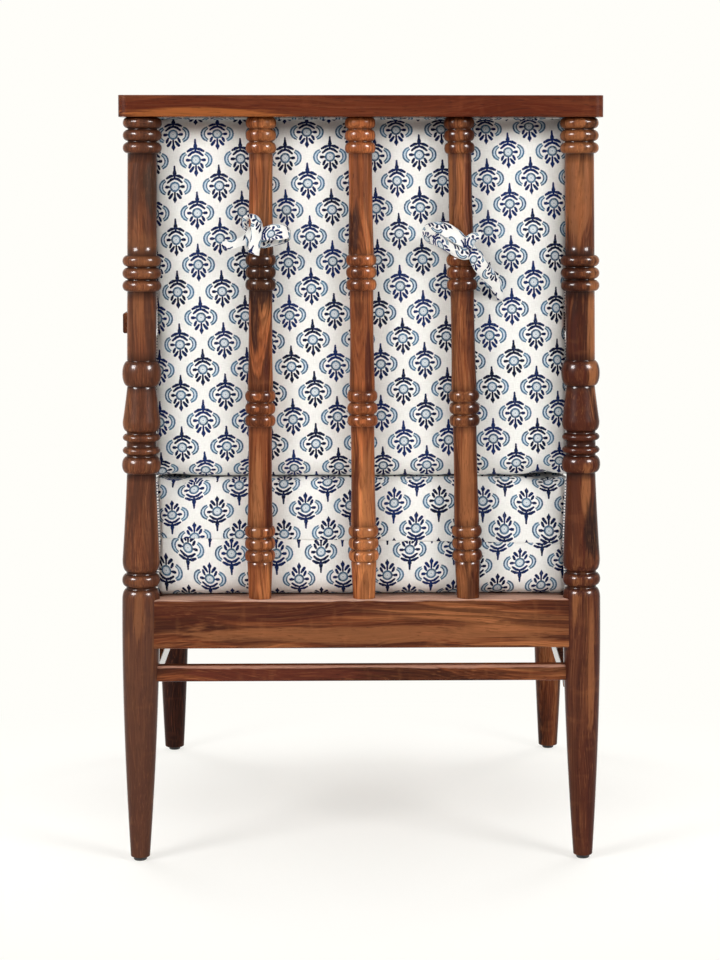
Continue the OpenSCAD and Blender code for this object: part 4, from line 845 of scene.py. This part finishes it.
def make_cover(name, pad, shape, material, tip_up, origin, replaced, strip=None, wave=None):
    """The cover mesh with UVs in metres, its print starting at origin on the rear side."""
    N, s, verts = shape["N"], shape["s"], shape["verts"]
    u0, z0 = origin
    s_at = rear_length(pad, shape, z0)
    sign = 1 if tip_up else -1
    uvs = []
    for fi, face in enumerate(shape["faces"]):
        k = fi % N
        for c, vi in enumerate(face):
            x, y, z = verts[vi]
            if fi >= shape["wrap_faces"]:
                u, v = (y - pad.mid[1]) * MM + 0.3, (z - z0) * MM * sign + 0.1
            elif strip is not None and strip["low"] <= s[k] < strip["high"]:
                u, v = -x * MM - strip["u0"] * MM, sign * (s[k + (c in (1, 2))] - strip["s0"]) * MM
                v -= np.interp(-x, *strip["wave"]) * MM
            else:
                u, v = -x * MM - u0 * MM, sign * (s[k + (c in (1, 2))] - s_at) * MM
                if wave is not None:
                    v -= np.interp(y, [pad.mid[1], pad.mid[1] + pad.a], [0, 1]) * np.interp(-x, *wave) * MM
            uvs.append((u, v))
    o = new_object(name, verts, shape["faces"], material, uvs)
    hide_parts(*replaced)
    return o


def settle(o, limit, cap=24.0, frames=20):
    """Lets the cover settle over its filling as cloth, then caps how far each point may have moved."""
    start = read(o.data)
    o.vertex_groups.new(name="held").add(list(range(len(start))), 0.12, "REPLACE")
    m = o.modifiers.new("Cloth", "CLOTH")
    for key, value in dict(
            quality=5, mass=0.25, tension_stiffness=12, compression_stiffness=12, shear_stiffness=4,
            bending_stiffness=0.6, tension_damping=8, compression_damping=8, air_damping=3,
            use_pressure=True, uniform_pressure_force=4.0, shrink_min=-0.012, vertex_group_mass="held",
            pin_stiffness=1.0).items():
        setattr(m.settings, key, value)
    m.settings.effector_weights.gravity = 0
    m.collision_settings.use_collision = False
    m.collision_settings.use_self_collision = False
    scene = bpy.context.scene
    m.point_cache.frame_start, m.point_cache.frame_end = 1, frames
    for f in range(1, frames + 1):
        scene.frame_set(f)
    move = (read(o.evaluated_get(bpy.context.evaluated_depsgraph_get()).data) - start) / MM
    o.modifiers.clear()
    o.vertex_groups.clear()
    scene.frame_set(1)
    far = np.linalg.norm(move, axis=1, keepdims=True)
    return limit(start / MM + move * np.minimum(1, cap / np.maximum(far, 1e-6)))


def tube(name, P, radius, material, sides=10):
    """A closed round cord along points in millimetres, U along it in metres."""
    n = len(P)
    T = unit(np.roll(P, -1, 0) - np.roll(P, 1, 0))
    up = np.array([1.0, 0, 0])
    s = walked(np.vstack([P, P[:1]]))
    verts, uvs, faces = [], [], []
    for i in range(n):
        a = unit(up - T[i] * (up @ T[i]))
        b = np.cross(T[i], a)
        r = radius * (1 + 0.03 * math.sin(s[i] * 1.2))
        for k in range(sides):
            t = 2 * math.pi * k / sides
            verts.append(P[i] + r * (a * math.cos(t) + b * math.sin(t)))
    for i, j in around(n):
        u0, u1 = s[i] * MM, s[i + 1] * MM
        for k, l in around(sides):
            faces.append((i * sides + k, i * sides + l, j * sides + l, j * sides + k))
            v0, v1 = (e / sides * 2 * math.pi * radius * MM for e in (k, k + 1))
            uvs += [(u0, v0), (u0, v1), (u1, v1), (u1, v0)]
    return new_object(name, verts, faces, material, uvs)


def smooth_loop(P, spacing=3.0):
    """Evenly spaced points on a closed smooth line through P."""
    out = []
    for i in range(len(P)):
        four = [P[(i + d) % len(P)] for d in (-1, 0, 1, 2)]
        m = max(2, int(np.linalg.norm(four[2] - four[1]) / spacing))
        out += [spline(*four, k / m) for k in range(m)]
    return np.array(out)


def pipe_seams(prefix, pad, shape, co, material, body, node):
    """Piping on both seams of a cover, following its points, as one piece."""
    parts = []
    for i, sign in enumerate((-1, 1)):
        P = co[shape["seams"][sign]]
        # Outward at the seam: half away from the side panel, half away from the wrap.
        radial = np.cross(unit(np.roll(P, -1, 0) - np.roll(P, 1, 0)), [1.0, 0, 0])
        radial *= np.sign(((P - pad.mid) * radial).sum(1))[:, None]
        path = smooth_loop(P + unit(radial + np.array([sign, 0, 0])) * 1.5)
        parts.append(tube(prefix + "_" + str(i), path, PIPING_D / 2, material))
    joined = join(prefix, parts)
    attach(joined, body)
    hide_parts(node)


# How far back the cushions swell between the spindles, a spindle's radius and the height of its beads.
SWELL_Y, SPINDLE_R, BEAD_RISE = 283.2, 15.8, 3.9
# The back cushion's foot and crown, and the top of the seat cushion under it.
BACK_FOOT_Z, BACK_CROWN_Z, SEAT_TOP_Z = 487.6, 956.5, 486.9
# The top rail's front face, and the back cushion's gap to the rail's edge.
RAIL_FACE_Y, RAIL_GAP = 267.3, 0.8


def bead_zones(z):
    """1 where a spindle's beads stand out, 0 beside its plain column."""
    near = np.zeros_like(z)
    for k in range(4):
        z0 = SEAT_Z + LOW_RISE + k * SPINDLE_PITCH
        near = np.maximum(near, np.clip(1 - np.maximum(z0 - 6 - z, z - z0 - GROUP_H - 6) / 12, 0, 1))
    return near


def rear_limit(co):
    """How far back the cushions may reach: the spindles stop them, and between these they swell."""
    x, z = co[:, 0], co[:, 2]
    limit = np.full(len(co), SWELL_Y)
    r = SPINDLE_R + BEAD_RISE * bead_zones(z)
    for i in (-1, 0, 1):
        d = np.abs(x - spindle_x(i, z))
        # Depth of the spindle's surface at this place beside its axis.
        surface = BACK_Y - np.sqrt(np.maximum(0, (r + 0.4) ** 2 - np.minimum(d, r) ** 2))
        limit = np.where(d < r + 1.0, np.minimum(limit, surface), limit)
    return limit


def keep_back(co):
    co = co.copy()
    co[:, 1] = np.minimum(co[:, 1], rear_limit(co))
    # The arms hold the cushion in where they pass it.
    arm = np.clip(1 - np.maximum(ARM_Z - co[:, 2], co[:, 2] - ARM_Z - ARM_T) / 14, 0, 1)
    widest = PAD_HALF_W + BACK_FLARE - 8.0 * arm ** 2 * (3 - 2 * arm)
    co[:, 0] = np.clip(co[:, 0], -widest, widest)
    co[:, 2] = np.clip(co[:, 2], BACK_FOOT_Z, BACK_CROWN_Z)
    # The top slopes down to pass under the top rail.
    under_rail = TOP_RAIL_Z - RAIL_GAP + np.maximum(0, RAIL_FACE_Y - RAIL_GAP - co[:, 1]) * 0.45
    co[:, 2] = np.minimum(co[:, 2], under_rail)
    return co


def keep_seat(co):
    co = co.copy()
    co[:, 1] = np.minimum(co[:, 1], rear_limit(co))
    co[:, 0] = np.clip(co[:, 0], -PAD_HALF_W - SEAT_FLARE, PAD_HALF_W + SEAT_FLARE)
    co[:, 2] = np.maximum(co[:, 2], SEAT_Z + 0.4)
    # The back cushion presses on the seat cushion, also a little in front of itself.
    under = co[:, 1] > CUSHION_BACK - 2 * BACK_A - 24
    co[:, 2] = np.where(under, np.minimum(co[:, 2], SEAT_TOP_Z), co[:, 2])
    return co


def crumple(co, corner_x, corner_z, reach, dent, fold):
    """Creases a cushion's cover round a rear corner, where the other cushion presses on it."""
    dx, dz = co[:, 0] - corner_x, co[:, 2] - corner_z
    near = np.exp(-(dx * dx + dz * dz * 1.4) / reach ** 2) * np.clip((co[:, 1] - 225) / 40, 0, 1)
    turn = np.arctan2(dz - 18, dx * np.sign(-corner_x) + 8)
    ridge = 0.5 + 0.5 * np.sin(turn * 9.0 + dx * 0.11)
    co[:, 2] += near * dent
    co[:, 1] -= near * fold * ridge


print_back = printed("printed_cotton_back", turn=math.radians(1.504))
print_seat = printed("printed_cotton_seat")
print_tie = printed("printed_cotton_tie", place=(0.013, 0.02), turn=math.radians(18), shrink=0.8)
striped = piping_cloth("striped_piping")

seat_pad = Pad((0, CUSHION_BACK - SEAT_A, SEAT_MID_Z), SEAT_A, SEAT_B, [9, 20, 20, 5], (16.0, 7.0, 0.23),
               flare=SEAT_FLARE)
back_pad = Pad((0, CUSHION_BACK - BACK_A, BACK_MID_Z), BACK_A, BACK_B, [15, 20, 20, 5], (7.0, 20.0, 0.0),
               roll=9.0, flare=BACK_FLARE)
back_shape = build_pad(back_pad, back_pad.fractions(), keep_back)
back_cover = make_cover("Back_cushion", back_pad, back_shape, print_back, False, BACK_PRINT,
                        ["back_cushion_cover", "back_cushion_foam", "back_cushion_zip"])
seat_shape = build_pad(seat_pad, seat_pad.fractions(ZIP_SHARE), keep_seat)
# Below the zip the seat cushion's wrap is a strip of its own, with another part of the print. Each wave is
# the print's rise along the rear side, which isn't sewn level.
lower_strip = dict(low=seat_shape["s"][seat_shape["rear"] - 6],
                   high=rear_length(seat_pad, seat_shape, ZIP_Z) - 0.01,
                   u0=STRIP_PRINT[0], s0=rear_length(seat_pad, seat_shape, STRIP_PRINT[1]),
                   wave=([-246, -218, -190, -134, -78, -20, 36, 92, 175, 203, 231],
                         [5, -1, -7.5, -10, -7.5, -5, -3, 0, 11.5, 14, 17.5]))
seat_wave = ([-240, -156, -72, 41, 97, 181, 237], [-16.5, -10, -7.4, 0, 1.6, 0.6, -2.5])
seat_cover = make_cover("Seat_cushion", seat_pad, seat_shape, print_seat, True, SEAT_PRINT,
                        ["seat_cushion_cover", "seat_cushion_foam", "seat_cushion_zip"],
                        lower_strip, seat_wave)

back_co = settle(back_cover, keep_back)
seat_co = settle(seat_cover, keep_seat)
crumple(seat_co, 236, 484, 22, -4.0, 6.0)
crumple(seat_co, -232, 483, 25, -5.5, 8.0)
crumple(back_co, 238, 490, 22, 2.5, 3.0)
crumple(back_co, -236, 490, 26, 3.5, 4.0)
# The soft top swells until it lies against the top rail's front face.
x, y, z = back_co.T
press = np.interp(z, [932, 941], [0, 1]) * np.interp(y, [244, 248, 252, 256, 258], [0, 0.2, 0.6, 0.94, 1])
press *= np.interp(np.abs(x), [232, 250], [1, 0])
back_co[:, 1] += press * (RAIL_FACE_Y - y)
write(back_cover, back_co)

# The lapped seam over the seat cushion's zip, which runs a little out of level.
for k in range(seat_shape["rear"], seat_shape["N"]):
    away = seat_shape["outline"][k, 1] + seat_pad.mid[2] - ZIP_Z
    column = slice(k, seat_shape["R"] * seat_shape["N"], seat_shape["N"])
    seat_co[column, 2] += max(0.0, 1 - abs(away) / 45) * 4.1 * (seat_co[column, 0] / 250)
    if abs(away) < 5:
        seat_co[column, 1] += np.interp(away, ZIP_ROWS, ZIP_STEP)
write(seat_cover, seat_co)

pipe_seams("Back_cushion_piping", back_pad, back_shape, back_co, striped, "chair", "back_cushion_piping")
pipe_seams("Seat_cushion_piping", seat_pad, seat_shape, seat_co, striped, "seat_cushion",
           "seat_cushion_piping")
for o, body in ((back_cover, "chair"), (seat_cover, "seat_cushion")):
    subdivide(o)
    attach(o, body)

# Ties
# The photograph's camera, and the picture's height and middle column in pixels.
CAM_X, CAM_Y, CAM_Z = 2.7, 3284.5, 865.5
PITCH, YAW, LENS, SENSOR, SHIFT_X, SHIFT_Y = 3.543, -1.102, 89.039, 36.0, -0.04673, -0.16
PICTURE_H, MIDDLE_X = 960, 361.0
FOCAL = LENS / SENSOR * PICTURE_H
# The heights of the ties' turns round their spindles.
LEFT_TURN_Z, RIGHT_TURN_Z = 793, 783
# A tie's depth just behind a spindle, its turn's radius and width there, and its cloth's thickness.
TIE_Y, TURN_R, TURN_W, THICK = 316.0, 17.0, 11, 1.5
# The cells between two stations, across a strip and round a turn.
STEPS, ACROSS, TURN_STEPS = 7, 8, 14
# The ties' stations in the photograph: both edges' column, row and depth from TIE_Y.
# The standing loop: up behind, over the top and down the front to a short tail.
LEFT_LOOP = (
    (252, 236, 2, 259, 239, 1), (246, 231, 3, 251, 233, 1), (244.2, 224, 4, 249.5, 227, 1),
    (244.6, 218, 8, 250, 221, 3), (248.5, 214.3, 13, 252.5, 218, 9), (256.5, 214.2, 17, 253, 221, 18),
    (262.5, 218.8, 16, 252.8, 226, 20), (264.6, 227, 14, 253, 232, 19), (263.6, 237, 13, 252.2, 239, 17),
    (262.4, 247, 12, 250.2, 247.5, 16), (261, 256, 11, 249.2, 252, 15))
# The wing to the right, folded back under itself.
LEFT_INNER_WING = (
    (258, 229, 5, 260, 240, 8), (265, 227, 9, 265, 240.2, 13), (274, 224.2, 10, 273, 240.4, 15),
    (284, 224.2, 8, 283, 240, 14), (290.4, 227.6, 4, 290.6, 238.4, 10), (291, 232, 0.5, 289, 242.5, 4),
    (283, 236, -1, 280, 245, 2), (271, 236, 0, 267, 248, 4), (263, 235, 2, 261, 247, 5))
# The wing to the left.
LEFT_OUTER_WING = (
    (256, 229, 5, 257, 243, 7), (249, 231, 8, 250, 246, 11), (243.5, 236.5, 7, 245, 245.8, 11),
    (237, 238.6, 4, 238.5, 247.6, 9), (229, 240.4, 1, 231.5, 249.6, 5),
    (223.8, 241.6, -3, 226, 248.2, 1))
# The turn of the knot.
LEFT_KNOT = (
    (256, 224, 2, 262, 226, 2), (251.4, 227, 12, 257, 230, 14), (247.6, 233, 14, 255.4, 234.5, 17),
    (247.8, 241, 13, 254, 240, 16), (249.6, 250, 9, 254.4, 245, 12), (254, 252.5, 1, 258, 248, 3))
# The broad band across the spindle, its upper layer.
RIGHT_UPPER_BAND = (
    (431, 238, -29, 437, 246, -28), (424.2, 233, -20, 431.5, 242.5, -16),
    (426.5, 225.5, -8, 434, 237, -3), (436, 221.6, 3, 440, 233.5, 9), (450, 223, 8, 447.5, 238, 14),
    (461, 230, 8, 455, 243, 14), (467.5, 236, 6, 462.5, 247, 12), (473.5, 241, 3, 470.5, 251, 8))
# Its lower layer.
RIGHT_LOWER_BAND = (
    (435, 230, -4, 432, 243, -8), (441, 232, 6, 438, 246.5, 2), (446.5, 237.5, 10, 445, 250, 6),
    (455, 243, 11, 455, 256, 7), (465, 246, 10, 465, 260, 7), (474.5, 246.5, 8, 472, 259, 6),
    (479, 246.5, 4, 476, 256, 3))
# The knot's turn and its short end to the upper right.
RIGHT_KNOT = (
    (463, 244, 4, 470, 254, 4), (465.5, 238.5, 13, 474.5, 248.5, 14), (471, 234.2, 12, 476.5, 243.5, 14),
    (477, 232.2, 8, 480, 241, 10), (483, 231.5, 4, 482, 239.5, 6))
# The long hanging end.
RIGHT_END = (
    (472, 240, 3, 466, 250, 4), (480, 249, 7, 470.5, 258, 9), (487, 259, 3, 475, 268.5, 5),
    (494.5, 268.5, -6, 482, 277, -4), (501, 279, -17, 489.5, 285, -15),
    (505, 290, -26, 496.5, 294.5, -24), (505.6, 299, -31, 499, 300.5, -30))


def strip(stations, bow):
    """Vertices, faces, UVs and area of a cloth strip through pairs of edge points, its section bowed."""
    def fine(P):
        ends = np.vstack([P[:1], P, P[-1:]])
        return np.array([spline(*ends[i:i + 4], k / STEPS) for i in range(len(P) - 1) for k in range(STEPS)]
                        + [P[-1]])
    A, B = (fine(np.array([pair[e] for pair in stations], float)) for e in (0, 1))
    C, W = (A + B) / 2, B - A
    width = np.linalg.norm(W, axis=1)
    normal = np.cross(W, unit(np.gradient(C, axis=0)))
    normal /= np.maximum(np.linalg.norm(normal, axis=1, keepdims=True), 1e-9)
    s = walked(C)
    verts, uv_of = [], []
    for i in range(len(C)):
        for side in (1, -1):
            for k in range(ACROSS + 1):
                f = k / ACROSS if side > 0 else 1 - k / ACROSS
                lens = math.sqrt(max(0, 1 - (2 * f - 1) ** 4))
                h = bow * (1 - (2 * f - 1) ** 2) + side * THICK / 2 * (0.25 + 0.75 * lens)
                h += 0.35 * math.sin(s[i] * 0.35 + f * 5)
                verts.append(A[i] + W[i] * f + normal[i] * h)
                uv_of.append((f * width[i] * MM, s[i] * MM + (0.05 if side < 0 else 0)))
    n = 2 * (ACROSS + 1)
    last = (len(C) - 1) * n
    faces = [(i * n + k, i * n + j, (i + 1) * n + j, (i + 1) * n + k)
             for i in range(len(C) - 1) for k, j in around(n)]
    for end in (0, last):
        for k in range(ACROSS):
            q = (end + k, end + k + 1, end + n - 2 - k, end + n - 1 - k)
            faces.append(q if end else q[::-1])
    uvs = [uv_of[a] for q in faces for a in q]
    area = float(np.trapezoid(width, s)) if hasattr(np, "trapezoid") else float(np.trapz(width, s))
    return verts, faces, uvs, area * MM * MM


def seen(px, py, y):
    """The point on the plane at depth y behind a place in the picture."""
    d = CAM_Y - y
    x = CAM_X - (px - MIDDLE_X) * d / FOCAL
    down = math.radians(PITCH) + math.atan((py - PICTURE_H / 2 - SHIFT_Y * PICTURE_H) / FOCAL)
    return (x, y, CAM_Z - d * math.tan(down))


def traced(stations):
    """The pairs of edge points that stations in the picture stand for."""
    return [(seen(a, b, TIE_Y + c), seen(d, e, TIE_Y + f)) for a, b, c, d, e, f in stations]


def turn_round(i, z, start, stop):
    """Stations of a strip round a spindle, from one angle to another, in degrees from +X towards +Y."""
    out = []
    for k in range(TURN_STEPS + 1):
        t = math.radians(start + (stop - start) * k / TURN_STEPS)
        x, y = spindle_x(i, z) + TURN_R * math.cos(t), BACK_Y + TURN_R * math.sin(t)
        out.append(((x, y, z - TURN_W / 2), (x, y, z + TURN_W / 2)))
    return out


def tie(name, strips, node):
    """Several strips as one piece; each is given as how far it bows and its stations."""
    pieces, area = [], 0.0
    for k, (bow, stations) in enumerate(strips):
        verts, faces, uvs, a = strip(stations, bow)
        area += a
        pieces.append(new_object(name + "_" + str(k), verts, faces, print_tie, uvs))
    o = join(name, pieces)
    bm = bmesh.new()
    bm.from_mesh(o.data)
    bmesh.ops.recalc_face_normals(bm, faces=bm.faces)
    bm.to_mesh(o.data)
    bm.free()
    subdivide(o)
    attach(o, "chair")
    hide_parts(node)
    # The flat size isn't measured; the strips' summed area is added up but not used.
    "Spindle_" + name.split("_")[-1]


tie("Tie_left", [
    (1.2, turn_round(-1, LEFT_TURN_Z, -200, 20)),
    (1.6, traced(LEFT_LOOP)),
    (1.4, traced(LEFT_INNER_WING)),
    (1.6, traced(LEFT_OUTER_WING)),
    (1.4, traced(LEFT_KNOT))], "back_tie_left")
tie("Tie_right", [
    (1.2, turn_round(1, RIGHT_TURN_Z, 160, 380)),
    (2.2, traced(RIGHT_UPPER_BAND)),
    (2, traced(RIGHT_LOWER_BAND)),
    (1.4, traced(RIGHT_KNOT)),
    (1.6, traced(RIGHT_END))], "back_tie_right")

# Floor, light and camera
scene = bpy.context.scene
WHITE = rgb(255, 254, 249)
FLOOR_HALF = 9.0


def looked_at(n):
    """1 for the camera's rays, also by way of a gloss or glass; 0 for the rays that only carry light."""
    ray = n.outputs("LightPath")
    return n.hi(ray["Is Camera Ray"], n.hi(ray["Is Glossy Ray"], ray["Is Transmission Ray"]))


floor_mesh = bpy.data.meshes.new("floor")
floor_mesh.from_pydata([(x * FLOOR_HALF, y * FLOOR_HALF, 0) for x, y in ((-1, -1), (1, -1), (1, 1), (-1, 1))],
                       [], [(0, 1, 2, 3)])
floor = link("floor", floor_mesh)
n = Net("pale_floor")
floor_mesh.materials.append(n.mat)
# The camera sees a white studio floor that keeps the chair's shadow and runs into the backdrop farther off.
away = n.mapping(n.node("TexCoord", out=OBJECT), (0, -0.16, 0), scale=(0.86, 1.35, 1))
share = n.ramp(n.vec("LENGTH", away, out=1), 0.3, 0.98, 0.47, 1.0)
# Full light on the floor comes out as white at any share.
strength = n.math("DIVIDE", n.add(n.mul(share, 0.83), 0.17), share)
both = n.node("MixShader", {0: n.mul(looked_at(n), share),
                            1: n.node("BsdfDiffuse", {"Color": rgb(244, 243, 240)}),
                            2: n.node("Emission", {"Color": WHITE, "Strength": strength})})
n.put(n.t.nodes["Material Output"].inputs["Surface"], both)

scene.world = bpy.data.worlds.new("studio")
n = Net("studio", scene.world)
n.t.nodes.clear()
both = n.node("MixShader", {0: looked_at(n), 1: n.node("Background", {0: (1.0, 0.985, 0.965, 1), 1: 0.37}),
                            2: n.node("Background", {0: WHITE, 1: 1.0})})
n.outputs("OutputWorld", {0: both})


def lamp(name, place, target, size, power):
    data = bpy.data.lights.new(name, "AREA")
    data.shape = "RECTANGLE"
    data.size, data.size_y = size
    data.energy = power
    o = link(name, data)
    o.location = place
    o.rotation_euler = (Vector(target) - Vector(place)).to_track_quat("-Z", "Y").to_euler()
    return o


# Two lamps behind the camera's shoulders, each with a soft box for gloss, one overhead and two in front.
for name, x in (("left", 2.35), ("right", -2.35)):
    lamp("key_" + name, (x, 2.3, 2.0), (0, 0.1, 0.55), (1.1, 1.2), 61).visible_glossy = False
    lamp("softbox_" + name, (x * 1.1, 2.2, 2.25), (0, 0.1, 0.55), (1.3, 1.15), 600).visible_diffuse = False
lamp("overhead", (0, -0.85, 3.0), (0, 0.05, 0.3), (2.4, 1.8), 30)
for name, x in (("far_left", 2.2), ("far_right", -2.2)):
    lamp(name, (x, -2.4, 1.9), (0, 0, 0.5), (1.2, 1.4), 28).visible_glossy = False

cam_data = bpy.data.cameras.new("camera")
cam = link("camera", cam_data)
pit, yaw = math.radians(PITCH), math.radians(YAW)
ahead = Vector((math.sin(yaw) * math.cos(pit), -math.cos(yaw) * math.cos(pit), -math.sin(pit)))
right = ahead.cross(Vector((0, 0, 1))).normalized()
upward = right.cross(ahead)
cam.matrix_world = Matrix((
    (right.x, upward.x, -ahead.x, CAM_X * MM), (right.y, upward.y, -ahead.y, CAM_Y * MM),
    (right.z, upward.z, -ahead.z, CAM_Z * MM), (0, 0, 0, 1)))
cam_data.sensor_width = SENSOR
cam_data.lens = LENS
cam_data.shift_x, cam_data.shift_y = SHIFT_X, SHIFT_Y
cam_data.clip_end = 100
scene.camera = cam
scene.view_settings.view_transform = "Standard"
